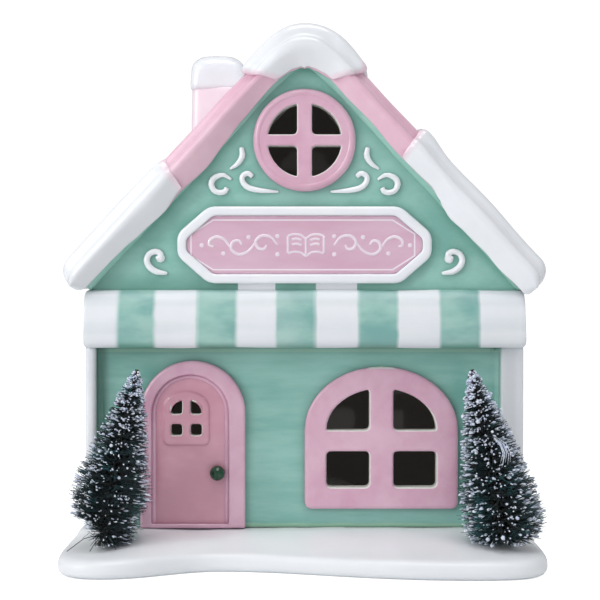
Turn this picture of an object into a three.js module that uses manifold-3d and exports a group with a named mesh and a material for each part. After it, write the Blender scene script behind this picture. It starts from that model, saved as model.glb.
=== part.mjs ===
// Light-up ceramic village shop: a gabled shop front on a snowy base with two bottle-brush trees,
// lit by a battery light unit that plugs into the base from below.
// Millimetres. X runs to the right, the shop front faces -Y, Z is up.
// The origin is under the middle of the object, on the surface that it stands on.
import * as THREE from 'three';
import { mergeGeometries, mergeVertices } from 'three/addons/utils/BufferGeometryUtils.js';
import Module from 'manifold-3d';

const wasm = await Module();
wasm.setup();

// Fits
const SEAM = 0.25; // glazed joint between two ceramic pieces
const FIT = 0.3; // clearance round plastic and metal parts
const FAR = 400; // reach of the tools that cut right through

// House body
const BODY_HALF_WIDTH = 97.7;
const FRONT_Y = -38;
const BACK_Y = 78;
const WALL = 4.5;
const SHOP_RECESS = 6; // shop front set back behind the corner posts
const LEFT_POST_WIDTH = 4.6;
const RIGHT_POST_WIDTH = 10; // hand finished, so the two posts differ
const POST_ROUNDING = 2.6;
const COVE_WIDTH = 3.2; // hollow moulding between shop front and post
const COVE_DEPTH = 4.2;
const COVE_TIGHTNESS = 0.6;
const SHOP_WALL_LAP = 7; // shop front runs this far up behind the gable

// Roof
const EAVE_Z = 117.8; // underside of the roof at the outside of the side wall
const GABLE_HEAD = 16.3; // from the round window up to where the roof's inner faces would meet
const RIDGE_ROUNDING = 5;
const ROOF_THICKNESS = 14;
const ROOF_FRONT_Y = -46;
const ROOF_BACK_Y = 84;
const BARGE_THICKNESS = 9.7; // flat front face, inside the outer roll
const ROLL_STEP = 4.2; // the outer roll stands back behind the front face
const CLAY_SHORT = 2.2; // the roof's clay ends this far inside the side wall's face
const SNOW_DEPTH = 2.2; // snow over the roof's top
const SNOW_PEAK_DEPTH = 4.8;
const SNOW_LIP_DEPTH = 1.3; // extra swell where a lower patch begins
const SNOW_LIP_RUN = 15;
const SNOW_PROUD = 1.9; // snow over the roof's front and back
const PEAK_HALF_WIDTH = 10.6;
const LEFT_SNOW_X = -54.4;
const RIGHT_SNOW_X = 42.7;
const PEAK_SKEW = 0.4; // patch edges spread or lean back through the thickness
const LOWER_SKEW = -0.18;
const EAVE_OVERHANG = 1.5; // snow past the side wall's face, along the roof's underside
const EAVE_NOSE = 8; // radius of the snow's outer corner at the eave
const EAVE_LIP = 1; // softening of its inner corner

// Chimney
const CHIMNEY_X = -42.2;
const CHIMNEY_Y = 30;
const CHIMNEY_WIDTH = 25;
const CHIMNEY_DEPTH = 24;
const CHIMNEY_ROUNDING = 3;
const CHIMNEY_ABOVE_ROOF = 4.5; // on its uphill side
const CHIMNEY_SNOW_HEIGHT = 16;
const CHIMNEY_SNOW_OVERHANG = 0.8;
const CHIMNEY_SNOW_ROUNDING = 3.4;

// Awning
const AWNING_BOTTOM_Z = 94.2;
const AWNING_TOP_Z = 119.9;
const AWNING_REACH = 8.5;
const AWNING_SHELF = 2.2; // narrow flat shelf along the top
const AWNING_LIP = 4.4; // rounded lower edge

// Sign
const SIGN_WIDTH = 112.6;
const SIGN_HEIGHT = 33.8;
const SIGN_ABOVE_AWNING = 3;
const SIGN_CHAMFER_X = 13.8;
const SIGN_CHAMFER_Z = 12;
const SIGN_RIM = 3.7;
const SIGN_RIM_PROUD = 3.2;
const SIGN_PANEL_PROUD = 2.1;

// Round gable window
const SCROLL_BAND = 7.2; // room for scrolls between the sign and the window
const ROUND_WINDOW_RADIUS = 22.4;
const ROUND_OPENING_RADIUS = 16.7;
const ROUND_BAR = 6.2;
const ROUND_CROSS_BAR = 4.6;
const ROUND_PLUG_RADIUS = 18.6;
const FRAME_PROUD = 3.2;
const FRAME_EDGE = 1.2; // softened edge of the window frames
const PANE_CORNER = 1.8;

// Arched shop window
const ARCH_SET_IN = 63.3; // window's middle from the side wall's face
const ARCH_WIDTH = 68.4;
const ARCH_SILL_Z = 21.9;
const ARCH_SPRING_Z = 57.1;
const ARCH_TOP_Z = 85.3;
const ARCH_BORDER = 9.4;
const ARCH_BAR = 10.3;
const ARCH_CROSS_BAR = 9;
const ARCH_BAR_Z = 52.3; // middle of the level bar
const ARCH_LAP = 5.6; // frame laps this far over the wall round its hole

// Door
const DOOR_SET_IN = 47.7; // doorway's middle from the side wall's face
const DOOR_FRAME_WIDTH = 46.8;
const DOOR_SPRING_Z = 64.6;
const DOOR_LEAF_WIDTH = 34.4;
const DOOR_LEAF_SHIFT = -1.2; // leaf stands a little left in its frame
const DOOR_FRAME_PROUD = 3.6;
const DOOR_LEAF_PROUD = 1.2;
const DOOR_SILL_HEIGHT = 1.7;
const DOOR_LIGHT_SHIFT = -3; // from the doorway's middle
const DOOR_LIGHT_WIDTH = 20.4;
const DOOR_LIGHT_BOTTOM_Z = 50.3;
const DOOR_LIGHT_TOP_Z = 74.2;
const DOOR_LIGHT_PROUD = 0.9;
const DOOR_PANE_WIDTH = 5.4;
const DOOR_PANE_HEIGHT = 5.4;
const DOOR_ARCHED_PANE_HEIGHT = 6.8;
const DOOR_PANE_SLOPE = 2.2; // fall of an arched pane's head towards the outside
const DOOR_BAR = 3.4;
const DOOR_CROSS_BAR = 4.2;
const DOOR_BAR_Z = 61.9;
const KNOB_SHIFT = 11.1;
const KNOB_Z = 38;
const KNOB_RADIUS = 3.4;
const KNOB_SPIGOT_RADIUS = 1.3;
const KNOB_SPIGOT_LENGTH = 3;

// Raised scrolls
const SCROLL_HALF_WIDTH = 1.05;
const SCROLL_PROUD = 1.4;

// Base
const BASE_X = -0.8;
const BASE_BORDER = 7.4; // base past the side walls
const BASE_FRONT = 89.6;
const BASE_BACK = 87.2;
const BASE_FRONT_SQUARENESS = 9; // higher is squarer in the corners
const BASE_BACK_SQUARENESS = 16;
const BASE_TOP_SQUARENESS = 24;
const BASE_RIM_Z = 8;
const BASE_TOP_Z = 13;
const BASE_TOP_MARGIN = 1.6; // level top runs this far past the walls
const WAVE_X = -36; // dip of the wavy front edge
const WAVE_DEPTH = 0.235; // share of the front reach that the dip takes
const WAVE_LEFT = 32;
const WAVE_RIGHT = 60;

// Trees
const TREE_Y = -62;
const TREE_SET_IN = 17.1; // foot from the base's side
const TREE_FOOT_Z = 10.5;
const TREE_HEIGHT = 77; // foot to tip, along the stem
const TREE_LEAN = THREE.MathUtils.degToRad(12.2);
const TREE_BARE_STEM = 2.6; // stem below the lowest bristles
const TREE_BARE_TIP = 1.5;
const LEFT_BRUSH = { radius: 18.9, belly: 0.26 }; // the belly is fullest this share of the way up
const RIGHT_BRUSH = { radius: 17.6, belly: 0.08 };
const BRUSH_TIP_RADIUS = 2.2;
const BRUSH_FOOT_SHARE = 0.68; // of the belly's radius, at the lowest bristles
const STEM_RADIUS = 0.95;
const STEM_SEATED = 5;
const STEM_TWIST_PITCH = 9;
const BRUSH_CORE_WALL = 0.65;
const STRANDS = 150;
const STRAND_ROOT = 0.5;
const STRAND_TIP = 0.34;
const STRAND_RISE = THREE.MathUtils.degToRad(8);

// Light unit
const LAMP_Y = 23;
const LAMP_WALL = 1.6; // barrel's wall outside the switch's corners
const LAMP_HOLE_CLEARANCE = 0.6;
const LAMP_FLANGE = 4; // flange width outside the barrel
const LAMP_FLANGE_THICKNESS = 1.5;
const LAMP_FLOOR_GAP = 1.2; // flange is set up from the table
const GASKET_THICKNESS = 1;
const LAMP_DECK = 2;
const CELL_RADIUS = 5.25; // AAA cell
const CELL_LENGTH = 44.5;
const CELL_PITCH = 10.9;
const CELL_NUB_RADIUS = 1.9;
const CELL_NUB_LENGTH = 1;
const CONTACT_SPACE = 2.8; // room for a contact at each end of a cell
const CONTACT_PLATE = 0.4;
const CONTACT_WIDTH = 7;
const CONTACT_DIMPLE_RADIUS = 1.6;
const CONTACT_TAB_WIDTH = 2.4;
const SPRING_WIRE_RADIUS = 0.3;
const SPRING_WIDE_RADIUS = 2.9;
const SPRING_NARROW_RADIUS = 1.6;
const SPRING_TURNS = 2;
const DOOR_PLATE = 1.8;
const DOOR_LEDGE = 1.6; // battery door rests on this ledge round the cells
const DOOR_LUG_RADIUS = 3.6;
const SCREW_SHANK_RADIUS = 1.1;
const SCREW_HEAD_RADIUS = 2.2;
const SCREW_HEAD_HEIGHT = 1.1;
const SCREW_LENGTH = 7.5;
const DOME_RADIUS = 30.5;
const DOME_HEIGHT = 13;
const DOME_WALL = 1.6;
const BOARD_RADIUS = 25.7;
const BOARD_THICKNESS = 1.2;
const LED_RADIUS = 2.5;
const LED_HEIGHT = 7;
const SWITCH_LENGTH = 9.4;
const SWITCH_DEPTH = 3.4;
const SWITCH_HEIGHT = 5.2;
const SWITCH_TRAVEL = 3;
const SWITCH_GAP = 1.2; // wall between the battery door and the switch
const SLIDER_WIDTH = 2.4;

// Derived planes
const SHOP_FACE_Y = FRONT_Y + SHOP_RECESS;
const SHOP_BACK_Y = SHOP_FACE_Y + WALL;
const GABLE_BACK_Y = SHOP_FACE_Y - SEAM;
const WALL_BOTTOM_Z = BASE_TOP_Z + SEAM;
const GABLE_BOTTOM_Z = AWNING_BOTTOM_Z + 0.1;
const SHOP_WALL_TOP_Z = GABLE_BOTTOM_Z + SHOP_WALL_LAP;
const SIGN_Z = AWNING_TOP_Z + SIGN_ABOVE_AWNING + SIGN_HEIGHT / 2;
const ROUND_WINDOW_Z = SIGN_Z + SIGN_HEIGHT / 2 + SCROLL_BAND + ROUND_WINDOW_RADIUS;
const RIDGE_Z = ROUND_WINDOW_Z + ROUND_WINDOW_RADIUS + GABLE_HEAD;
const ROOF_SLOPE = (RIDGE_Z - EAVE_Z) / BODY_HALF_WIDTH;
const EAVE_END_X = BODY_HALF_WIDTH - CLAY_SHORT;
const CHIMNEY_UPHILL_X = Math.abs(CHIMNEY_X) - CHIMNEY_WIDTH / 2;
const ROOF_RISE = ROOF_THICKNESS * Math.hypot(1, ROOF_SLOPE); // roof's thickness, measured upright
const CHIMNEY_TOP_Z = RIDGE_Z - CHIMNEY_UPHILL_X * ROOF_SLOPE + ROOF_RISE + CHIMNEY_ABOVE_ROOF;
const DOOR_X = DOOR_SET_IN - BODY_HALF_WIDTH;
const DOOR_LIGHT_X = DOOR_X + DOOR_LIGHT_SHIFT;
const KNOB_X = DOOR_X + KNOB_SHIFT;
const ARCH_X = BODY_HALF_WIDTH - ARCH_SET_IN;
const BASE_HALF_WIDTH = BODY_HALF_WIDTH + BASE_BORDER;
const TREE_FOOT_X = BASE_HALF_WIDTH - TREE_SET_IN;

// Materials
const glaze = (color, roughness = 0.22) => new THREE.MeshStandardMaterial({ color, roughness });
const snowGlaze = glaze(0xe9edf1);
const mintGlaze = glaze(0x7fb3a5);
const pinkGlaze = glaze(0xd4a4bb);
const doorGlaze = glaze(0xbe8ca0);
const roofGlaze = glaze(0xe4b9ca);
const knobGlaze = glaze(0x195a3a, 0.15);
const wireSteel = new THREE.MeshStandardMaterial({ color: 0x6d7468, roughness: 0.4, metalness: 0.9 });
const bristleFibre = new THREE.MeshStandardMaterial({ color: 0x1d4138, roughness: 0.85 });
const whitePlastic = new THREE.MeshStandardMaterial({ color: 0xe8e6e0, roughness: 0.5 });
const clearPlastic = new THREE.MeshStandardMaterial({ color: 0xf2efe4, roughness: 0.35 });
const blackPlastic = new THREE.MeshStandardMaterial({ color: 0x232323, roughness: 0.5 });
const boardGreen = new THREE.MeshStandardMaterial({ color: 0x1f5c34, roughness: 0.5 });
const cellSteel = new THREE.MeshStandardMaterial({ color: 0x8d9094, roughness: 0.35, metalness: 0.8 });
const springSteel = new THREE.MeshStandardMaterial({ color: 0xb9bcc0, roughness: 0.3, metalness: 1 });
const foam = new THREE.MeshStandardMaterial({ color: 0x3c3c3e, roughness: 0.95 });

const shop = new THREE.Group();

function addPiece(name, piece, material, placement) {
  const geometry = piece.isBufferGeometry ? piece : toGeometry(piece);
  if (placement) geometry.applyMatrix4(placement);
  geometry.computeVertexNormals();
  const mesh = new THREE.Mesh(geometry, material);
  mesh.name = name;
  shop.add(mesh);
}

// Solids and booleans

function toSolid(geometry) {
  const bare = geometry.clone();
  bare.deleteAttribute('normal');
  bare.deleteAttribute('uv');
  const merged = mergeVertices(bare);
  return new wasm.Manifold(new wasm.Mesh({
    numProp: 3,
    vertProperties: new Float32Array(merged.attributes.position.array),
    triVerts: new Uint32Array(merged.index.array),
  }));
}

function toGeometry(solid) {
  const mesh = solid.getMesh();
  const geometry = new THREE.BufferGeometry();
  geometry.setAttribute('position', new THREE.BufferAttribute(mesh.vertProperties, 3));
  geometry.setIndex(new THREE.BufferAttribute(mesh.triVerts, 1));
  return geometry;
}

// Basic shapes

function box(x0, x1, y0, y1, z0, z1) {
  const geometry = new THREE.BoxGeometry(x1 - x0, y1 - y0, z1 - z0);
  geometry.translate((x0 + x1) / 2, (y0 + y1) / 2, (z0 + z1) / 2);
  return toSolid(geometry);
}

// A revolved profile of [radius, height] points, standing on (x, y)
function revolve(profile, x, y, segments = 32) {
  const points = profile.map(([r, z]) => new THREE.Vector2(r, z));
  const geometry = new THREE.LatheGeometry(points, segments);
  geometry.rotateX(Math.PI / 2);
  geometry.translate(x, y, 0);
  return toSolid(geometry);
}

function post(radius, x, y, z0, z1, segments = 32) {
  return revolve([[0, z0], [radius, z0], [radius, z1], [0, z1]], x, y, segments);
}

function extrude(shape, depth, options = {}) {
  return new THREE.ExtrudeGeometry(shape, { depth, bevelEnabled: false, curveSegments: 10, ...options });
}

function extrudeUp(shape, z0, z1) {
  const geometry = extrude(shape, z1 - z0);
  geometry.translate(0, 0, z0);
  return toSolid(geometry);
}

// A shape drawn in X and Z, extruded from y1 forward to y0
function extrudeForward(shape, y0, y1) {
  const geometry = extrude(shape, y1 - y0);
  geometry.rotateX(Math.PI / 2);
  geometry.translate(0, y1, 0);
  return toSolid(geometry);
}

// The same with a softened front edge
function extrudeSoft(shape, y0, y1, edge) {
  const geometry = extrude(shape, y1 - y0 - edge, {
    bevelEnabled: true,
    bevelThickness: edge,
    bevelSize: edge,
    bevelOffset: -edge,
    bevelSegments: 3,
  });
  geometry.rotateX(Math.PI / 2);
  geometry.translate(0, y1, 0);
  const behind = box(-FAR, FAR, y1, FAR, -FAR, FAR);
  return toSolid(geometry).subtract(behind);
}

// A shape drawn in Y and Z, extruded along X
function extrudeAcross(shape, x0, x1) {
  const geometry = extrude(shape, x1 - x0);
  const axes = new THREE.Matrix4().makeBasis(
    new THREE.Vector3(0, 1, 0),
    new THREE.Vector3(0, 0, 1),
    new THREE.Vector3(1, 0, 0),
  );
  geometry.applyMatrix4(axes);
  geometry.translate(x0, 0, 0);
  return toSolid(geometry);
}

// A closed skin over rings of equal point counts, each ring counter-clockwise as seen from the last.
// Ends that bulge all round close as a fan from their middle.
function loft(rings, fanEnds = false) {
  const count = rings[0].length;
  const positions = rings.flat().flatMap((p) => [p.x, p.y, p.z]);
  const index = [];
  for (let r = 0; r + 1 < rings.length; r += 1) {
    for (let i = 0; i < count; i += 1) {
      const a = r * count + i;
      const b = r * count + ((i + 1) % count);
      index.push(a, b, b + count, a, b + count, a + count);
    }
  }
  const last = (rings.length - 1) * count;
  if (fanEnds) {
    const middle = positions.length / 3;
    [rings[0], rings.at(-1)].forEach((ring) => {
      const sum = ring.reduce((total, p) => total.add(p), new THREE.Vector3());
      positions.push(...sum.divideScalar(count));
    });
    rings[0].forEach((_, i) => index.push(middle, (i + 1) % count, i));
    rings[0].forEach((_, i) => index.push(middle + 1, last + i, last + ((i + 1) % count)));
  } else {
    capFaces(rings[0]).forEach(([a, b, c]) => index.push(c, b, a));
    capFaces(rings.at(-1)).forEach(([a, b, c]) => index.push(a + last, b + last, c + last));
  }
  const geometry = new THREE.BufferGeometry();
  geometry.setAttribute('position', new THREE.Float32BufferAttribute(positions, 3));
  geometry.setIndex(index);
  return geometry;
}

function capFaces(ring) {
  const normal = new THREE.Vector3();
  ring.forEach((p, i) => normal.add(new THREE.Vector3().crossVectors(p, ring[(i + 1) % ring.length])));
  normal.normalize();
  const side = Math.abs(normal.z) < 0.9 ? new THREE.Vector3(0, 0, 1) : new THREE.Vector3(1, 0, 0);
  const u = new THREE.Vector3().crossVectors(side, normal).normalize();
  const v = new THREE.Vector3().crossVectors(normal, u);
  const flat = ring.map((p) => new THREE.Vector2(p.dot(u), p.dot(v)));
  return THREE.ShapeUtils.triangulateShape(flat, []);
}

// Outline with its sharp corners rounded
function softShape(points, radius) {
  const shape = new THREE.Shape();
  const count = points.length;
  points.forEach((corner, i) => {
    const before = points[(i + count - 1) % count];
    const after = points[(i + 1) % count];
    const toBefore = before.clone().sub(corner);
    const toAfter = after.clone().sub(corner);
    const turn = Math.PI - Math.abs(toBefore.angleTo(toAfter));
    const draw = i === 0 ? 'moveTo' : 'lineTo';
    if (turn < 0.6) {
      shape[draw](corner.x, corner.y);
      return;
    }
    const cut = Math.min(radius, toBefore.length() * 0.45, toAfter.length() * 0.45);
    const start = corner.clone().add(toBefore.setLength(cut));
    const end = corner.clone().add(toAfter.setLength(cut));
    const middle = start.clone().add(end).multiplyScalar(0.3).addScaledVector(corner, 0.4);
    shape[draw](start.x, start.y);
    shape.lineTo(middle.x, middle.y);
    shape.lineTo(end.x, end.y);
  });
  return shape;
}

const rectangle = (x0, x1, z0, z1) => [
  new THREE.Vector2(x0, z0),
  new THREE.Vector2(x1, z0),
  new THREE.Vector2(x1, z1),
  new THREE.Vector2(x0, z1),
];

// Upright sides with a round or elliptical head
function archPoints(x, halfWidth, bottom, spring, rise, steps = 20) {
  const points = [new THREE.Vector2(x - halfWidth, bottom), new THREE.Vector2(x + halfWidth, bottom)];
  for (let i = 0; i <= steps; i += 1) {
    const angle = (Math.PI * i) / steps;
    points.push(new THREE.Vector2(x + halfWidth * Math.cos(angle), spring + rise * Math.sin(angle)));
  }
  return points;
}

// Roof profile

function roofPoint(x, out) {
  const reach = Math.hypot(x * ROOF_SLOPE, RIDGE_ROUNDING);
  const normal = new THREE.Vector2((x * ROOF_SLOPE * ROOF_SLOPE) / reach, 1).normalize();
  return new THREE.Vector2(x, RIDGE_Z - reach).addScaledVector(normal, out);
}

// Places across the roof where its profile is worked out: close together over the round ridge
const ROOF_STATIONS = [0, 1.6, 3.6, 6.5, 11, 18, BODY_HALF_WIDTH / 2, EAVE_END_X];

function mirrored(values) {
  return [...values.slice(1).reverse().map((x) => -x), ...values];
}

// Everything under the roof's inner face, kept clear of it by the seam
function underRoof() {
  const points = mirrored([...ROOF_STATIONS, 2 * BODY_HALF_WIDTH]).map((x) => roofPoint(x, -SEAM));
  points.unshift(new THREE.Vector2(points[0].x, -FAR));
  points.push(new THREE.Vector2(points.at(-1).x, -FAR));
  points.reverse();
  return extrudeForward(new THREE.Shape(points), -FAR, FAR);
}

const belowRoof = underRoof();

// Base

// Direction-by-direction radius of a rounded rectangle
function roundedReach(angle, halfWidth, front, back, squareness) {
  const c = Math.abs(Math.cos(angle)) / halfWidth;
  const s = Math.abs(Math.sin(angle)) / (Math.sin(angle) < 0 ? front : back);
  return (c ** squareness + s ** squareness) ** (-1 / squareness);
}

function baseRing(inset, z, toWalls = 0) {
  const steps = 84;
  const ring = [];
  for (let i = 0; i < steps; i += 1) {
    const angle = (2 * Math.PI * i) / steps;
    const outer = roundedReach(
      angle,
      BASE_HALF_WIDTH - inset,
      BASE_FRONT - inset,
      BASE_BACK - inset,
      Math.sin(angle) < 0 ? BASE_FRONT_SQUARENESS : BASE_BACK_SQUARENESS,
    );
    const point = new THREE.Vector3(BASE_X + outer * Math.cos(angle), outer * Math.sin(angle), z);
    if (point.y < 0) point.y *= 1 - WAVE_DEPTH * waveAt(point.x);
    const inner = roundedReach(
      angle,
      BODY_HALF_WIDTH + BASE_TOP_MARGIN,
      BASE_TOP_MARGIN - FRONT_Y,
      BACK_Y + BASE_TOP_MARGIN,
      BASE_TOP_SQUARENESS,
    );
    const foot = new THREE.Vector3(inner * Math.cos(angle), inner * Math.sin(angle), z);
    ring.push(point.lerp(foot, toWalls));
  }
  return ring;
}

function waveAt(x) {
  const width = x < WAVE_X ? WAVE_LEFT : WAVE_RIGHT;
  return Math.exp(-(((x - WAVE_X) / width) ** 2));
}

function buildBase() {
  const rise = BASE_TOP_Z - BASE_RIM_Z;
  const drift = [0.22, 0.48, 0.76, 1].map((t) => (
    baseRing(3.2, BASE_RIM_Z + rise * Math.sin((t * Math.PI) / 2), t)
  ));
  const slab = loft([
    baseRing(2.6, 0),
    baseRing(0.8, 0.7),
    baseRing(0, 2.4),
    baseRing(0, 4.6),
    baseRing(0.9, 6.7),
    baseRing(3.2, BASE_RIM_Z),
    ...drift,
  ], true);
  const hole = post(LAMP_RADIUS + LAMP_HOLE_CLEARANCE, 0, LAMP_Y, -5, BASE_TOP_Z + 5, 48);
  const counterbore = post(
    LAMP_RADIUS + LAMP_FLANGE + LAMP_HOLE_CLEARANCE,
    0,
    LAMP_Y,
    -5,
    GASKET_TOP_Z + FIT,
    48,
  );
  let solid = toSolid(slab).subtract(hole).subtract(counterbore);
  [-1, 1].forEach((side) => {
    const socket = post(STEM_RADIUS + FIT, 0, 0, -STEM_SEATED - FIT, BASE_TOP_Z, 12);
    solid = solid.subtract(socket.transform(treePlacement(side).elements));
  });
  addPiece('base_slab', solid, snowGlaze);
}

// Stem frame: Z along the stem, leaning towards the house's middle
function treePlacement(side) {
  const turn = new THREE.Matrix4().makeRotationY(-side * TREE_LEAN);
  return turn.setPosition(side * TREE_FOOT_X, TREE_Y, TREE_FOOT_Z);
}

// Walls

function buildWalls() {
  const left = LEFT_POST_WIDTH + SEAM - BODY_HALF_WIDTH;
  const right = BODY_HALF_WIDTH - RIGHT_POST_WIDTH - SEAM;
  const section = new THREE.Shape();
  section.moveTo(left, SHOP_BACK_Y);
  section.lineTo(right, SHOP_BACK_Y);
  section.lineTo(right, SHOP_FACE_Y - COVE_DEPTH);
  section.quadraticCurveTo(right - COVE_TIGHTNESS, SHOP_FACE_Y, right - COVE_WIDTH, SHOP_FACE_Y);
  section.lineTo(left + COVE_WIDTH, SHOP_FACE_Y);
  section.quadraticCurveTo(left + COVE_TIGHTNESS, SHOP_FACE_Y, left, SHOP_FACE_Y - COVE_DEPTH);
  const lap = box(-FAR, FAR, -FAR, SHOP_FACE_Y, GABLE_BOTTOM_Z - SEAM, FAR);
  const windowHole = archPoints(
    ARCH_X,
    ARCH_WIDTH / 2 - ARCH_LAP + SEAM,
    ARCH_SILL_Z + ARCH_LAP - SEAM,
    ARCH_SPRING_Z,
    ARCH_TOP_Z - ARCH_SPRING_Z - ARCH_LAP + SEAM,
  );
  const leafX = DOOR_X + DOOR_LEAF_SHIFT;
  const leafHalf = DOOR_LEAF_WIDTH / 2 + SEAM;
  const doorway = archPoints(leafX, leafHalf, 0, DOOR_SPRING_Z, leafHalf);
  const shopFront = extrudeUp(section, WALL_BOTTOM_Z, SHOP_WALL_TOP_Z)
    .subtract(lap)
    .subtract(extrudeForward(new THREE.Shape(windowHole), FRONT_Y - 10, SHOP_BACK_Y + 5))
    .subtract(extrudeForward(new THREE.Shape(doorway), FRONT_Y - 10, SHOP_BACK_Y + 5));
  addPiece('shopfront_wall', shopFront, mintGlaze);

  const gable = box(-BODY_HALF_WIDTH, BODY_HALF_WIDTH, FRONT_Y, GABLE_BACK_Y, GABLE_BOTTOM_Z, RIDGE_Z)
    .intersect(belowRoof)
    .subtract(roundBore(ROUND_PLUG_RADIUS + SEAM));
  addPiece('gable_front', gable, mintGlaze);

  [-1, 1].forEach((side) => {
    const name = side < 0 ? 'left' : 'right';
    const outer = side * BODY_HALF_WIDTH;
    const inner = side * (BODY_HALF_WIDTH - WALL);
    const [x0, x1] = [Math.min(outer, inner), Math.max(outer, inner)];
    const overPost = box(x0 - 5, x1 + 5, FRONT_Y, SHOP_BACK_Y + SEAM, 0, GABLE_BOTTOM_Z);
    const wall = box(x0, x1, SHOP_FACE_Y, BACK_Y - WALL - SEAM, WALL_BOTTOM_Z, RIDGE_Z)
      .subtract(overPost)
      .intersect(belowRoof);
    addPiece(`side_wall_${name}`, wall, mintGlaze);
    buildCornerPost(side, name);
  });

  const back = box(-BODY_HALF_WIDTH, BODY_HALF_WIDTH, BACK_Y - WALL, BACK_Y, WALL_BOTTOM_Z, RIDGE_Z);
  addPiece('back_wall', back.intersect(belowRoof), mintGlaze);
}

function buildCornerPost(side, name) {
  const r = POST_ROUNDING;
  const far = BODY_HALF_WIDTH;
  const near = far - (side < 0 ? LEFT_POST_WIDTH : RIGHT_POST_WIDTH);
  const section = new THREE.Shape();
  section.moveTo(near, SHOP_BACK_Y);
  section.lineTo(near, FRONT_Y + r / 2);
  section.quadraticCurveTo(near, FRONT_Y, near + r / 2, FRONT_Y);
  section.lineTo(far - r, FRONT_Y);
  section.quadraticCurveTo(far, FRONT_Y, far, FRONT_Y + r);
  section.lineTo(far, SHOP_BACK_Y);
  const solid = extrudeUp(section, WALL_BOTTOM_Z, GABLE_BOTTOM_Z - SEAM);
  addPiece(`corner_post_${name}`, side < 0 ? solid.mirror([1, 0, 0]) : solid, snowGlaze);
}

function roundBore(radius) {
  const disc = new THREE.Shape();
  disc.absarc(0, ROUND_WINDOW_Z, radius, 0, 2 * Math.PI);
  return extrudeForward(disc, -FAR, 0);
}

// Windows

// Panes left open by a cross of bars inside an outline
function crossPanes(outline, middleX, middleZ, bar, crossBar) {
  const cut = (x0, x1, z0, z1) => (
    clipToBox(outline, middleX + x0, middleX + x1, middleZ + z0, middleZ + z1)
  );
  const [x, z] = [bar / 2, crossBar / 2];
  return [
    cut(-FAR, -x, z, FAR),
    cut(x, FAR, z, FAR),
    cut(-FAR, -x, -FAR, -z),
    cut(x, FAR, -FAR, -z),
  ].map((points) => softShape(points, PANE_CORNER));
}

// Convex outline clipped to an upright rectangle, one side after another
function clipToBox(outline, x0, x1, z0, z1) {
  const sides = [
    (p) => p.x - x0,
    (p) => x1 - p.x,
    (p) => p.y - z0,
    (p) => z1 - p.y,
  ];
  return sides.reduce((points, inside) => {
    const kept = [];
    points.forEach((p, i) => {
      const q = points[(i + 1) % points.length];
      const [dp, dq] = [inside(p), inside(q)];
      if (dp >= 0) kept.push(p);
      if (dp * dq < 0) kept.push(p.clone().lerp(q, dp / (dp - dq)));
    });
    return kept;
  }, outline);
}

function cutPanes(solid, panes, y0, y1) {
  return panes.reduce((body, pane) => body.subtract(extrudeForward(pane, y0, y1)), solid);
}

function buildRoundWindow() {
  const disc = new THREE.Shape();
  disc.absarc(0, ROUND_WINDOW_Z, ROUND_WINDOW_RADIUS, 0, 2 * Math.PI);
  const face = extrudeSoft(disc, FRONT_Y - FRAME_PROUD, FRONT_Y - SEAM, FRAME_EDGE);
  const plug = new THREE.Shape();
  plug.absarc(0, ROUND_WINDOW_Z, ROUND_PLUG_RADIUS, 0, 2 * Math.PI);
  const body = face.add(extrudeForward(plug, FRONT_Y - FRAME_PROUD / 2, GABLE_BACK_Y));
  const outline = [];
  for (let i = 0; i < 32; i += 1) {
    const angle = (2 * Math.PI * i) / 32;
    const x = ROUND_OPENING_RADIUS * Math.cos(angle);
    outline.push(new THREE.Vector2(x, ROUND_WINDOW_Z + ROUND_OPENING_RADIUS * Math.sin(angle)));
  }
  const panes = crossPanes(outline, 0, ROUND_WINDOW_Z, ROUND_BAR, ROUND_CROSS_BAR);
  const open = cutPanes(body, panes, FRONT_Y - FRAME_PROUD - 2, GABLE_BACK_Y + 2);
  addPiece('round_window_frame', open, pinkGlaze);
}

function buildArchedWindow() {
  const half = ARCH_WIDTH / 2;
  const rise = ARCH_TOP_Z - ARCH_SPRING_Z;
  const faceShape = softShape(archPoints(ARCH_X, half, ARCH_SILL_Z, ARCH_SPRING_Z, rise), 2.5);
  const face = extrudeSoft(faceShape, SHOP_FACE_Y - FRAME_PROUD, SHOP_FACE_Y - SEAM, FRAME_EDGE);
  const plug = archPoints(
    ARCH_X,
    half - ARCH_LAP,
    ARCH_SILL_Z + ARCH_LAP,
    ARCH_SPRING_Z,
    rise - ARCH_LAP,
  );
  const plugSolid = extrudeForward(new THREE.Shape(plug), SHOP_FACE_Y - FRAME_PROUD / 2, SHOP_BACK_Y);
  const opening = archPoints(
    ARCH_X,
    half - ARCH_BORDER,
    ARCH_SILL_Z + ARCH_BORDER,
    ARCH_SPRING_Z,
    rise - ARCH_BORDER,
  );
  const panes = crossPanes(opening, ARCH_X, ARCH_BAR_Z, ARCH_BAR, ARCH_CROSS_BAR);
  const open = cutPanes(face.add(plugSolid), panes, SHOP_FACE_Y - FRAME_PROUD - 2, SHOP_BACK_Y + 2);
  addPiece('arched_window_frame', open, pinkGlaze);
}

// Door

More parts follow.
